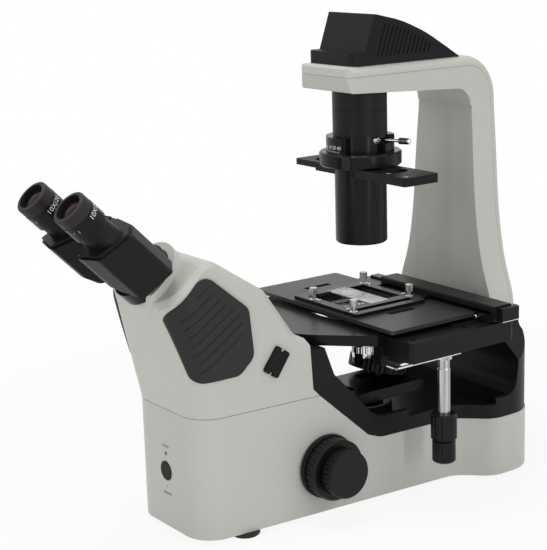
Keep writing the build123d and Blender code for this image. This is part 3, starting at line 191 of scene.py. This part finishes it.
# Strip under the drive unit
strip_reach = (-72.0 * mm, 14.0 * mm)
strip_inset = 0.8 * mm
strip_width = 4.0 * mm
strip_thick = 1.8 * mm
cross_length = 15.0 * mm

# Light port, stage insert, slide label and specimen
port_floor_z = 75.0 * mm
port_steps = 72
lip_angles = (-150.0, -30.0)
label_from_end = 11.5 * mm
label_length = 20.5 * mm
label_inset = 1.2 * mm
label_lift = 0.08 * mm
label_thick = 0.12 * mm
smear_from_middle = 11.0 * mm
smear_radius = 8.5 * mm
smear_length_share = 1.9
smear_points = 40
smear_waves = ((0.09, 3, 1.0), (0.05, 7, 0.0))
smear_lift = 0.02 * mm
smear_thick = 0.10 * mm
smear_taper = 0.98

# Turned profiles in millimetres: distance out from the axis, then height along it
sleeve_profiles = (
    ((6.0, 156.8), (7.1, 157.2), (7.4, 158.0), (7.4, 160.6), (7.0, 161.2), (6.0, 161.2)),
    ((6.0, 101.3), (6.7, 101.5), (6.7, 147.6), (6.3, 148.6), (6.0, 148.6)),
)
port_profile = ((21.0, 0.02), (30.0, 0.02), (30.0, 6.5), (28.5, 8.0), (24.0, 8.0), (22.5, 6.0),
                (21.0, 5.5))
washer_profile = ((2.4, 0.02), (4.3, 0.02), (4.3, 0.55), (3.9, 0.8), (2.4, 0.8))
# The same, with the distance out counted from the edge of the button or the insert
bezel_profile = ((0.55, -0.4), (0.55, 0.45), (0.8, 0.6), (1.2, 0.35), (1.35, 0.02), (1.35, -0.4))
lip_profile = ((-0.6, 0.02), (2.6, 0.02), (2.6, 0.25), (1.3, 1.3), (-0.2, 1.3))
# The same, as shares of the screw's radius
screw_profile = ((1.0, 0.0), (1.0, 0.75), (0.88, 0.9), (0.5, 0.9), (0.5, 0.3), (0.05, 0.3),
                 (0.05, 0.0))


def node_at(tree, kind, **values):
    """A new shader node with its settings."""
    made = tree.nodes.new(kind)
    for key, value in values.items():
        setattr(made, key, value)
    return made


def surface(name, dark, light, scale, rough, bump_scale, bump_height, metallic=0.0, coat=0.0,
            stretch=(1.0, 1.0, 1.0), patch_scale=14.0, patch=0.10, specular=0.5):
    """A finish with mottled colour, uneven gloss and a fine relief, all in object metres."""
    material = bpy.data.materials.new(name)
    material.use_nodes = True
    tree = material.node_tree
    shader = tree.nodes["Principled BSDF"]
    place = node_at(tree, "ShaderNodeTexCoord")
    mapping = node_at(tree, "ShaderNodeMapping")
    mapping.inputs["Scale"].default_value = stretch
    tree.links.new(place.outputs["Object"], mapping.inputs["Vector"])
    grain = node_at(tree, "ShaderNodeTexNoise")
    grain.inputs["Scale"].default_value = scale
    grain.inputs["Detail"].default_value = grain_detail
    tree.links.new(mapping.outputs["Vector"], grain.inputs["Vector"])
    ramp = node_at(tree, "ShaderNodeValToRGB")
    for end, colour, position in zip(ramp.color_ramp.elements, (dark, light), grain_ends):
        end.color = (*colour, 1.0)
        end.position = position
    tree.links.new(grain.outputs["Fac"], ramp.inputs["Fac"])
    cloud = node_at(tree, "ShaderNodeTexNoise")
    cloud.inputs["Scale"].default_value = patch_scale
    tree.links.new(place.outputs["Object"], cloud.inputs["Vector"])
    shade = node_at(tree, "ShaderNodeMapRange")
    shade.inputs["To Min"].default_value = 1.0 - patch
    shade.inputs["To Max"].default_value = 1.0 + patch
    tree.links.new(cloud.outputs["Fac"], shade.inputs["Value"])
    tint = node_at(tree, "ShaderNodeMix", data_type="RGBA", blend_type="MULTIPLY")
    tint.inputs["Factor"].default_value = 1.0
    tree.links.new(ramp.outputs["Color"], tint.inputs["A"])
    tree.links.new(shade.outputs["Result"], tint.inputs["B"])
    tree.links.new(tint.outputs["Result"], shader.inputs["Base Color"])
    gloss = node_at(tree, "ShaderNodeMapRange")
    gloss.inputs["To Min"].default_value = max(rough - gloss_spread, gloss_least)
    gloss.inputs["To Max"].default_value = min(rough + gloss_spread, 1.0)
    tree.links.new(cloud.outputs["Fac"], gloss.inputs["Value"])
    tree.links.new(gloss.outputs["Result"], shader.inputs["Roughness"])
    relief = node_at(tree, "ShaderNodeTexNoise")
    relief.inputs["Scale"].default_value = bump_scale
    relief.inputs["Detail"].default_value = relief_detail
    tree.links.new(mapping.outputs["Vector"], relief.inputs["Vector"])
    bump = node_at(tree, "ShaderNodeBump")
    bump.inputs["Distance"].default_value = bump_height
    bump.inputs["Strength"].default_value = relief_strength
    tree.links.new(relief.outputs["Fac"], bump.inputs["Height"])
    tree.links.new(bump.outputs["Normal"], shader.inputs["Normal"])
    shader.inputs["Metallic"].default_value = metallic
    shader.inputs["Coat Weight"].default_value = coat
    shader.inputs["Specular IOR Level"].default_value = specular
    return material


def glass(name, tint, rough):
    """Clear glass with a faint film of uneven gloss."""
    material = surface(name, tint, tint, 60.0, rough, 300.0, 0.00001, patch=0.02)
    shader = material.node_tree.nodes["Principled BSDF"]
    shader.inputs["Transmission Weight"].default_value = glass_clearness
    shader.inputs["IOR"].default_value = glass_index
    return material


def make_materials():
    """Every finish of the instrument, by the record's slot name, and a few of the scene's own.

    After the two colours come the grain's scale, the roughness, the relief's scale and its height.
    """
    return {
        "housing": surface("housing_paint", warm_grey, warm_grey_light, 900.0, 0.42, 1300.0,
                           0.00003, patch=0.02, specular=0.35),
        "casting": surface("casting_paint", warm_grey, warm_grey_light, 700.0, 0.42, 900.0,
                           0.00004, patch=0.02, specular=0.35),
        "pad": surface("pad_rubber", (0.012, 0.012, 0.013), (0.019, 0.019, 0.020), 1200.0, 0.55,
                       1800.0, 0.00006, specular=0.30),
        "black_plastic": surface("black_plastic", black_low, black_high, 1000.0, 0.46, 1500.0,
                                 0.00006, specular=0.15),
        "black_casting": surface("black_paint", black_low, black_high, 800.0, 0.42, 1100.0,
                                 0.00005, specular=0.17),
        "anodised": surface("black_anodised", black_low, black_high, 600.0, 0.24, 2600.0, 0.00002,
                            stretch=(1.0, 1.0, 0.12), specular=0.16),
        "stage_paint": surface("stage_paint", (0.022, 0.022, 0.022), (0.032, 0.032, 0.032), 700.0,
                               0.38, 1200.0, 0.00003, specular=0.30),
        "knob": surface("knob_plastic", black_low, black_high, 700.0, 0.30, 1600.0, 0.00002,
                        specular=0.20),
        "white_metal": surface("white_lacquer", (0.62, 0.62, 0.60), (0.68, 0.68, 0.66), 500.0,
                               0.35, 900.0, 0.00002, patch=0.02),
        "chrome": surface("chrome_plate", (0.66, 0.67, 0.69), (0.76, 0.77, 0.79), 300.0, 0.13,
                          2200.0, 0.000004, metallic=1.0, stretch=(1.0, 1.0, 0.05)),
        "steel": surface("turned_steel", (0.42, 0.42, 0.42), (0.58, 0.58, 0.58), 900.0, 0.32,
                         2400.0, 0.00001, metallic=1.0, stretch=(0.06, 1.0, 1.0)),
        "nickel": surface("nickel_plate", (0.52, 0.50, 0.46), (0.66, 0.64, 0.60), 500.0, 0.22,
                          1500.0, 0.00001, metallic=1.0),
        "rubber": surface("black_rubber", (0.007, 0.007, 0.007), (0.014, 0.014, 0.014), 1400.0,
                          0.52, 2000.0, 0.00008, specular=0.30),
        "glass": glass("optical_glass", (0.88, 0.94, 0.97), 0.08),
        "board": surface("board_laminate", (0.02, 0.10, 0.04), (0.04, 0.18, 0.07), 220.0, 0.40,
                         700.0, 0.00005),
        "lamp": surface("lamp_lens", (0.050, 0.006, 0.005), (0.085, 0.010, 0.008), 400.0, 0.18,
                        600.0, 0.00001, coat=0.5),
        "led": surface("bare_aluminium", (0.55, 0.56, 0.58), (0.68, 0.69, 0.71), 700.0, 0.35,
                       1800.0, 0.00002, metallic=1.0, stretch=(1.0, 0.08, 1.0)),
        "mark": surface("white_print", (0.72, 0.72, 0.70), (0.78, 0.78, 0.76), 900.0, 0.55, 900.0,
                        0.00001),
        # Dark print colour, used also for the seam strip, where it is painted shade
        "ink_and_shade": surface("dark_print_and_shade", (0.045, 0.045, 0.045), (0.060, 0.060, 0.060), 900.0, 0.60,
                       900.0, 0.00001, specular=0.2),
        "sample": surface("sample_smear", (0.42, 0.44, 0.45), (0.86, 0.87, 0.86), 260.0, 0.42,
                          600.0, 0.00006, patch=0.2, patch_scale=160.0),
        "paper": surface("label_paper", (0.80, 0.79, 0.78), (0.88, 0.87, 0.86), 420.0, 0.70,
                         1500.0, 0.00004, patch=0.04, patch_scale=90.0),
        "coated_lens": surface("coated_lens", (0.010, 0.004, 0.003), (0.022, 0.009, 0.006), 30.0,
                               0.06, 300.0, 0.000001, patch=0.4, patch_scale=60.0, specular=0.10),
        "polished": surface("polished_steel", (0.74, 0.74, 0.75), (0.84, 0.84, 0.85), 300.0, 0.16,
                            1200.0, 0.000004, metallic=1.0),
        # Plated steel whose light and dark streaks along its length are painted reflections
        "drawn": surface("drawn_steel", (0.16, 0.16, 0.17), (0.86, 0.86, 0.88), 210.0, 0.20,
                         2200.0, 0.000004, metallic=1.0, stretch=(1.0, 1.0, 0.012)),
    }


def finish_nodes(materials):
    """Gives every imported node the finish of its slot, or one of its own."""
    # y_sleeve takes the plated steel whose streaks are painted reflections
    own = {"iris_lever": "chrome", "eye_lens_left": "coated_lens", "eye_lens_right": "coated_lens",
           "stage_plate": "stage_paint", "stage_insert": "polished", "drive_rail": "polished",
           "y_sleeve": "drawn", "case_screws": "anodised", "slide_bar": "anodised"}
    for part in frame["record"]["subparts"]:
        item = nodes_by_name[part["node"]]
        for place in item.material_slots:
            place.material = materials[own.get(part["node"], part["material_slot"])]


def mesh_piece(name, shape, material, body):
    """Turns a bmesh into a piece that rides on a body."""
    mesh = bpy.data.meshes.new(name)
    shape.to_mesh(mesh)
    shape.free()
    mesh.materials.append(material)
    item = bpy.data.objects.new(name, mesh)
    bpy.context.collection.objects.link(item)
    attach(item, body)


def joint(name):
    """A joint of the record: its place in metres and its axis."""
    found = next(item for item in frame["record"]["behaviour"]["joints"] if item["name"] == name)
    return Vector(found.get("pos_m", (0, 0, 0))), Vector(found["axis"]).normalized()


def level_direction(angle):
    """The level direction that stands at an angle in degrees from +X."""
    return Vector((cos(radians(angle)), sin(radians(angle)), 0.0))


def island_middles(node):
    """The middle of each separate solid of a node."""
    mesh = nodes_by_name[node].data
    shape = bmesh.new()
    shape.from_mesh(mesh)
    bmesh.ops.remove_doubles(shape, verts=shape.verts, dist=weld_distance)
    left = set(shape.verts)
    middles = []
    while left:
        front = [left.pop()]
        island = list(front)
        while front:
            vertex = front.pop()
            for edge in vertex.link_edges:
                other = edge.other_vert(vertex)
                if other in left:
                    left.remove(other)
                    front.append(other)
                    island.append(other)
        low = Vector([min(vertex.co[k] for vertex in island) for k in range(3)])
        high = Vector([max(vertex.co[k] for vertex in island) for k in range(3)])
        middles.append((low + high) / 2)
    shape.free()
    return sorted(middles, key=lambda point: (round(point.x, sort_digits),
                                              round(point.y, sort_digits)))


def add_strip(shape, centre, along, across, up, size):
    """A thin bevelled bar given by its three directions and its three sizes."""
    length, width, height = size
    turn = Matrix((along * length, across * width, up * height)).transposed().to_4x4()
    made = bmesh.ops.create_cube(shape, size=1.0, matrix=Matrix.Translation(centre) @ turn)
    edges = {edge for vertex in made["verts"] for edge in vertex.link_edges}
    bmesh.ops.bevel(shape, geom=list(edges), offset=min(size) * bevel_share, segments=1,
                    affect="EDGES")


def bridge(shape, ring, after):
    """Adds the faces between two rings of equally many corners."""
    for k in range(len(ring)):
        follow = (k + 1) % len(ring)
        shape.faces.new((ring[k], ring[follow], after[follow], after[k]))


def turn_profile(shape, profile, centre, axis, out, steps=lathe_steps, hex_rings=()):
    """Adds a solid of revolution; profile is a closed list of (radius, along)."""
    side = axis.cross(out)
    rings = []
    for index, (radius, along) in enumerate(profile):
        ring = []
        for k in range(steps):
            turn = 2 * pi * k / steps
            reach = radius
            if index in hex_rings:
                reach = radius / cos((turn % (pi / 3)) - pi / 6)
            ring.append(shape.verts.new(centre + axis * along
                                        + (out * cos(turn) + side * sin(turn)) * reach))
        rings.append(ring)
    for index, ring in enumerate(rings):
        bridge(shape, ring, rings[(index + 1) % len(rings)])
    bmesh.ops.recalc_face_normals(shape, faces=shape.faces)


def in_metres(profile, start=0.0):
    """A profile in metres, with its distances out counted from a start."""
    return [(start + out * mm, along * mm) for out, along in profile]


def socket_screw(shape, base, axis, out, radius):
    """Adds a low cap screw with a hexagonal socket, standing on base."""
    profile = [(reach * radius, along * radius) for reach, along in screw_profile]
    turn_profile(shape, profile, base, axis, out, socket_screw_steps, socket_rings)


def add_shape(shape, other):
    """Moves the faces of one bmesh into another."""
    mesh = bpy.data.meshes.new("passing")
    other.to_mesh(mesh)
    other.free()
    shape.from_mesh(mesh)
    bpy.data.meshes.remove(mesh)


def lettering(words, size):
    """Flat letters as a mesh, centred on the origin and facing +Z."""
    curve = bpy.data.curves.new("lettering", "FONT")
    curve.body = words
    curve.size = size
    curve.align_x = "CENTER"
    curve.align_y = "CENTER"
    curve.extrude = print_depth / 2
    curve.resolution_u = letter_smoothness
    item = bpy.data.objects.new("lettering", curve)
    bpy.context.collection.objects.link(item)
    bpy.context.view_layer.update()
    mesh = bpy.data.meshes.new_from_object(item)
    bpy.data.objects.remove(item)
    bpy.data.curves.remove(curve)
    shape = bmesh.new()
    shape.from_mesh(mesh)
    bpy.data.meshes.remove(mesh)
    bmesh.ops.remove_doubles(shape, verts=shape.verts, dist=size / letter_weld_parts)
    return shape


def print_flat(shape, words, size, centre, right, up):
    """Adds lettering on a flat face."""
    letters = lettering(words, size)
    out = right.cross(up)
    for vertex in letters.verts:
        x, y, z = vertex.co
        vertex.co = centre + right * x + up * y + out * (z + print_lift + print_depth / 2)
    add_shape(shape, letters)


def print_round(shape, words, size, centre, axis, out, radius):
    """Adds lettering round a cylinder: centre lies on its axis, out points at the middle."""
    letters = lettering(words, size)
    side = axis.cross(out)
    for vertex in letters.verts:
        x, y, z = vertex.co
        turn = x / radius
        reach = radius + z + print_lift + print_depth / 2
        vertex.co = centre + axis * y + (out * cos(turn) + side * sin(turn)) * reach
    add_shape(shape, letters)


def collar_scale(materials):
    """White numbers over a row of division lines on the condenser collar."""
    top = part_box("condenser_collar")[1].z
    number_place = Vector((0, 0, top - collar_number_drop))
    tick_place = Vector((0, 0, top - collar_tick_drop))
    shape = bmesh.new()
    for words, angle in collar_numbers:
        print_round(shape, words, collar_number_size, number_place, z_dir, level_direction(angle),
                    collar_radius)
    first, last = collar_numbers[0][1], collar_numbers[-1][1]
    for k in range(collar_tick_count):
        out = level_direction(first + (last - first) * k / (collar_tick_count - 1))
        length = collar_short_tick if k % collar_long_every else collar_long_tick
        add_strip(shape, out * collar_radius + tick_place, z_dir, z_dir.cross(out), out,
                  (length, tick_width, 2 * print_depth))
    mesh_piece("collar_scale", shape, materials["mark"], "stand")


def eyepiece_prints(materials):
    """The magnification and two setting lines round each eyepiece."""
    for side, (angle, tick_angles) in eye_prints.items():
        place, axis = joint("ocular_turn_" + side)
        back = axis.cross(x_dir)
        along = (eye_level_point - place).dot(axis)
        centre = place + axis * (along + eye_print_along)
        shape = bmesh.new()
        out = x_dir * cos(radians(angle)) + back * sin(radians(angle))
        print_round(shape, eye_words, eye_print_size, centre, axis, out, eyepiece_radius)
        for index, tick in enumerate(tick_angles):
            out = x_dir * cos(radians(tick)) + back * sin(radians(tick))
            length = eye_tick / (1 + index)
            middle = centre + out * eyepiece_radius - axis * length / eye_tick_set_back
            add_strip(shape, middle, axis, axis.cross(out), out,
                      (length, tick_width, 2 * print_depth))
        mesh_piece("eyepiece_print_" + side, shape, materials["mark"], "ocular_" + side)


def front_prints(materials):
    """Dark words above the power lamp and below the button, with a short bar between them."""
    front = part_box("lower_housing")[0].y
    shape = bmesh.new()
    for words, height, size in front_words:
        print_flat(shape, words, size, Vector((0, front, height)), x_dir, z_dir)
    add_strip(shape, Vector((0, front, front_bar_z)), z_dir, x_dir, -x_dir.cross(z_dir),
              (front_bar_length, tick_width, 2 * print_depth))
    mesh_piece("front_print", shape, materials["ink_and_shade"], "stand")


def seam_shade_line(materials):
    """A dark strip along the outer wall where the front housing meets the base: painted shade of
    the joint's gap.
    """
    item = nodes_by_name["front_housing"]
    low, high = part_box("front_housing")
    source = bmesh.new()
    source.from_mesh(item.data)
    source.transform(item.matrix_world)
    bmesh.ops.remove_doubles(source, verts=source.verts, dist=weld_distance)
    inside = Vector(((low.x + high.x) / 2, (low.y + high.y) / 2, low.z))
    shape = bmesh.new()
    for edge in source.edges:
        start, end = (vertex.co for vertex in edge.verts)
        if max(start.z, end.z) > low.z + seam_near or edge.calc_length() < seam_near:
            continue
        walls = [face for face in edge.link_faces if abs(face.normal.z) < seam_steep]
        if len(walls) != 1 or walls[0].normal.dot((start + end) / 2 - inside) <= 0:
            continue
        along = (end - start).normalized()
        out = Vector((walls[0].normal.x, walls[0].normal.y, 0.0)).normalized()
        add_strip(shape, (start + end) / 2 + out * seam_proud / 2, along, out, along.cross(out),
                  ((end - start).length, seam_proud + 2 * print_depth, seam_height))
    source.free()
    # The strip's dark print colour is painted shade of the joint's gap
    mesh_piece("seam_shade_line", shape, materials["ink_and_shade"], "stand")


def button_ring(materials):
    """A narrow turned bezel round the power button."""
    low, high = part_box("power_button")
    radius = (high.x - low.x) / 2
    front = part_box("lower_housing")[0].y
    centre = Vector((0, front, (low.z + high.z) / 2))
    shape = bmesh.new()
    turn_profile(shape, in_metres(bezel_profile, radius), centre, forward, x_dir)
    mesh_piece("button_bezel", shape, materials["casting"], "stand")


def slider_prints(materials):
    """Magnification numbers beside the openings of the phase slider."""
    low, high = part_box("phase_slider")
    shape = bmesh.new()
    for words, x in slider_numbers:
        place = Vector((x, low.y * slider_print_share, high.z))
        print_flat(shape, words, slider_number_size, place, x_dir, y_dir)
    mesh_piece("slider_print", shape, materials["mark"], "phase_slider")


def lever_sleeve(materials):
    """The black grooved sleeve on the plated iris lever."""
    place, axis = joint("iris_turn")
    start, end = lever_grip
    pitch = (end - start) / lever_groove_count
    profile = [(lever_grip_radius - lever_grip_wall, start)]
    for k in range(lever_groove_count):
        near = start + k * pitch
        profile += [(lever_grip_radius, near + share * pitch) for share in lever_land]
        profile += [(lever_grip_radius - lever_groove_depth, near + pitch)]
    profile += [(lever_grip_radius - lever_grip_wall, end)]
    shape = bmesh.new()
    turn_profile(shape, profile, place, level_direction(lever_angle), axis)
    mesh_piece("lever_sleeve", shape, materials["knob"], "iris_lever")


def holder_hardware(materials):
    """A plated washer under each clamp screw and a small socket screw beside it."""
    low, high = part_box("slide_holder")
    middle = (low + high) / 2
    screw_places = island_middles("holder_screws")
    washers, screws = bmesh.new(), bmesh.new()
    for centre in screw_places:
        base = Vector((centre.x, centre.y, high.z))
        inward = Vector((middle.x - centre.x, 0, 0)).normalized()
        turn_profile(washers, in_metres(washer_profile), base, z_dir, x_dir)
        socket_screw(screws, base + inward * socket_screw_inset, z_dir, x_dir,
                     socket_screw_radius)
    mesh_piece("holder_washers", washers, materials["nickel"], "stage_x")
    mesh_piece("holder_socket_screws", screws, materials["chrome"], "stage_x")


def stage_fittings(materials):
    """The polished stop on the rail's front, and the plate under the rail's outer end."""
    low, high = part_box("x_rail")
    plate_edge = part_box("stage_plate")[1].x
    shape = bmesh.new()
    stop = Vector((plate_edge + stop_radius + stop_gap, low.y, stop_z))
    neck = stop_neck_share * stop_radius
    turn_profile(shape, [(stop_centre, 0.0), (neck, 0.0), (neck, stop_neck_end),
                         (stop_radius, stop_head_start), (stop_radius, stop_head_end),
                         (stop_chamfer_share * stop_radius, stop_length),
                         (stop_centre, stop_length)], stop, forward, x_dir)
    middle = Vector((high.x - end_width / 2, high.y - end_length / 2, end_bottom_z - end_plate / 2))
    add_strip(shape, middle, x_dir, y_dir, z_dir, (end_width, end_length, end_plate))
    mesh_piece("stage_stop", shape, materials["polished"], "stage_y")


def drive_strip(materials):
    """The polished strip along the underside of the drive unit, with its crossbar in front."""
    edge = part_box("drive_unit")[1].x - strip_inset
    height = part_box("drive_rail")[1].z - strip_thick / 2
    front, back = strip_reach
    shape = bmesh.new()
    add_strip(shape, Vector((edge - strip_width / 2, (front + back) / 2, height)), y_dir, x_dir,
              z_dir, (back - front, strip_width, strip_thick))
    add_strip(shape, Vector((edge - cross_length / 2, front + strip_width / 2, height)), x_dir,
              y_dir, z_dir, (cross_length, strip_width, strip_thick))
    mesh_piece("drive_strip", shape, materials["polished"], "stand")


def sleeve_rings(materials):
    """The turned collar and the wider lower tube of the plated knob sleeve."""
    place = joint("y_drive_turn")[0]
    centre = Vector((place.x, place.y, 0.0))
    shape = bmesh.new()
    for profile in sleeve_profiles:
        turn_profile(shape, in_metres(profile), centre, z_dir, x_dir)
    # The rings take the plated steel whose light and dark streaks are painted reflections
    mesh_piece("sleeve_rings", shape, materials["drawn"], "y_knob")


def port_ring(materials):
    """The raised turned ring round the light port in the floor of the bay."""
    shape = bmesh.new()
    turn_profile(shape, in_metres(port_profile), Vector((0, 0, port_floor_z)), z_dir, x_dir,
                 port_steps)
    mesh_piece("port_ring", shape, materials["black_casting"], "stand")


def insert_lip(materials):
    """The bright bevelled lip along the front of the round stage insert."""
    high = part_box("stage_insert")[1]
    profile = in_metres(lip_profile, high.x)
    start, end = (radians(angle) for angle in lip_angles)
    shape = bmesh.new()
    rings = []
    for k in range(lathe_steps + 1):
        angle = start + (end - start) * k / lathe_steps
        rings.append([shape.verts.new((reach * cos(angle), reach * sin(angle), high.z + rise))
                      for reach, rise in profile])
    for ring, after in zip(rings, rings[1:]):
        bridge(shape, ring, after)
    shape.faces.new(rings[0])
    shape.faces.new(rings[-1])
    bmesh.ops.recalc_face_normals(shape, faces=shape.faces)
    mesh_piece("insert_lip", shape, materials["polished"], "stand")


def slide_label(materials):
    """A blank paper label on the frosted end of the glass slide."""
    low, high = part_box("glass_slide")
    shape = bmesh.new()
    centre = Vector((high.x - label_from_end, (low.y + high.y) / 2, high.z + label_lift))
    add_strip(shape, centre, x_dir, y_dir, z_dir,
              (label_length, high.y - low.y - 2 * label_inset, label_thick))
    mesh_piece("slide_label", shape, materials["paper"], "stage_x")


def specimen(materials):
    """A pale, uneven smear on the clear part of the glass slide, off its middle."""
    low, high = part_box("glass_slide")
    middle = (low + high) / 2 - x_dir * smear_from_middle
    shape = bmesh.new()
    rim = []
    for k in range(smear_points):
        angle = 2 * pi * k / smear_points
        swell = sum((size * sin(count * angle + start) for size, count, start in smear_waves), 1)
        reach = smear_radius * swell
        rim.append(shape.verts.new((middle.x + smear_length_share * reach * cos(angle),
                                    middle.y + reach * sin(angle), high.z + smear_lift)))
    face = shape.faces.new(rim)
    raised = bmesh.ops.extrude_face_region(shape, geom=[face])
    for item in raised["geom"]:
        if isinstance(item, bmesh.types.BMVert):
            item.co.z += smear_thick
            item.co.x = middle.x + (item.co.x - middle.x) * smear_taper
            item.co.y = middle.y + (item.co.y - middle.y) * smear_taper
    bmesh.ops.recalc_face_normals(shape, faces=shape.faces)
    mesh_piece("specimen_smear", shape, materials["sample"], "stage_x")


def aim_camera():
    """The photograph's camera, worked out from its angles and one sighted point."""
    azimuth = radians(camera_azimuth)
    elevation = radians(camera_elevation)
    back = Vector((sin(azimuth) * cos(elevation), -cos(azimuth) * cos(elevation), sin(elevation)))
    right = (-back).cross(z_dir).normalized()
    up = right.cross(-back)
    roll = radians(camera_roll)
    right, up = right * cos(roll) - up * sin(roll), right * sin(roll) + up * cos(roll)
    across = (sighted_pixel[0] - photo_width / 2) / photo_focal
    below = (sighted_pixel[1] - photo_height / 2) / photo_focal
    sight = (right * across - up * below - back).normalized()
    data = bpy.data.cameras.new("photo_camera")
    data.sensor_width = sensor_size
    data.lens = photo_focal / photo_height * sensor_size
    camera = bpy.data.objects.new("photo_camera", data)
    bpy.context.collection.objects.link(camera)
    turn = Matrix((right, up, back)).transposed().to_4x4()
    camera.matrix_world = Matrix.Translation(sighted_point - sight * camera_distance) @ turn
    bpy.context.scene.camera = camera


def area_light(name, place, target, width, height, power):
    """A rectangular lamp that faces a target."""
    data = bpy.data.lights.new(name, "AREA")
    data.shape = "RECTANGLE"
    data.size = width
    data.size_y = height
    data.energy = power
    lamp = bpy.data.objects.new(name, data)
    bpy.context.collection.objects.link(lamp)
    lamp.location = place
    lamp.rotation_euler = (Vector(target) - Vector(place)).to_track_quat("-Z", "Y").to_euler()


def white_behind(tree, shader, background, share=None):
    """Mixes plain white into what camera, mirror and glass rays see."""
    seen = node_at(tree, "ShaderNodeLightPath")
    white = node_at(tree, background)
    white.inputs["Color"].default_value = plain_white
    rays = seen.outputs["Is Camera Ray"]
    for kind in ("Is Glossy Ray", "Is Transmission Ray"):
        either = node_at(tree, "ShaderNodeMath", operation="ADD", use_clamp=True)
        tree.links.new(rays, either.inputs[0])
        tree.links.new(seen.outputs[kind], either.inputs[1])
        rays = either.outputs[0]
    if share:
        part = node_at(tree, "ShaderNodeMath", operation="MULTIPLY")
        tree.links.new(rays, part.inputs[0])
        tree.links.new(share, part.inputs[1])
        rays = part.outputs[0]
    mix = node_at(tree, "ShaderNodeMixShader")
    tree.links.new(rays, mix.inputs[0])
    tree.links.new(shader.outputs[0], mix.inputs[1])
    tree.links.new(white.outputs[0], mix.inputs[2])
    return mix


def floor_material():
    """White paper that keeps a soft shadow near the object and is plain white further out."""
    material = surface("floor_paper", floor_colour, floor_colour, 30.0, 0.9, 400.0, 0.00001,
                       patch=0.01, specular=0.1)
    tree = material.node_tree
    place = node_at(tree, "ShaderNodeTexCoord")
    far = node_at(tree, "ShaderNodeVectorMath", operation="LENGTH")
    tree.links.new(place.outputs["Object"], far.inputs[0])
    share = node_at(tree, "ShaderNodeMapRange", interpolation_type="SMOOTHSTEP")
    share.inputs["From Min"].default_value = floor_fade[0]
    share.inputs["From Max"].default_value = floor_fade[1]
    share.inputs["To Min"].default_value = floor_share
    tree.links.new(far.outputs["Value"], share.inputs["Value"])
    mix = white_behind(tree, tree.nodes["Principled BSDF"], "ShaderNodeEmission",
                       share.outputs["Result"])
    tree.links.new(mix.outputs[0], tree.nodes["Material Output"].inputs["Surface"])
    return material


def studio():
    """Pale floor, even world light and soft lamps."""
    world = bpy.data.worlds.new("studio")
    bpy.context.scene.world = world
    world.use_nodes = True
    tree = world.node_tree
    sky = tree.nodes["Background"]
    sky.inputs["Color"].default_value = plain_white
    sky.inputs["Strength"].default_value = world_level
    mix = white_behind(tree, sky, "ShaderNodeBackground")
    tree.links.new(mix.outputs[0], tree.nodes["World Output"].inputs["Surface"])
    shape = bmesh.new()
    bmesh.ops.create_grid(shape, x_segments=2, y_segments=2, size=floor_half)
    mesh = bpy.data.meshes.new("floor")
    shape.to_mesh(mesh)
    shape.free()
    floor = bpy.data.objects.new("floor", mesh)
    bpy.context.collection.objects.link(floor)
    floor.location.z = cad_low.z
    mesh.materials.append(floor_material())
    for name, power, place, width, height in lamps:
        area_light(name, place, lamp_target, width, height, power)
    bpy.context.scene.view_settings.view_transform = "Standard"


materials = make_materials()
finish_nodes(materials)
collar_scale(materials)
eyepiece_prints(materials)
front_prints(materials)
seam_shade_line(materials)
button_ring(materials)
slider_prints(materials)
lever_sleeve(materials)
holder_hardware(materials)
stage_fittings(materials)
drive_strip(materials)
sleeve_rings(materials)
port_ring(materials)
insert_lip(materials)
slide_label(materials)
specimen(materials)
aim_camera()
studio()
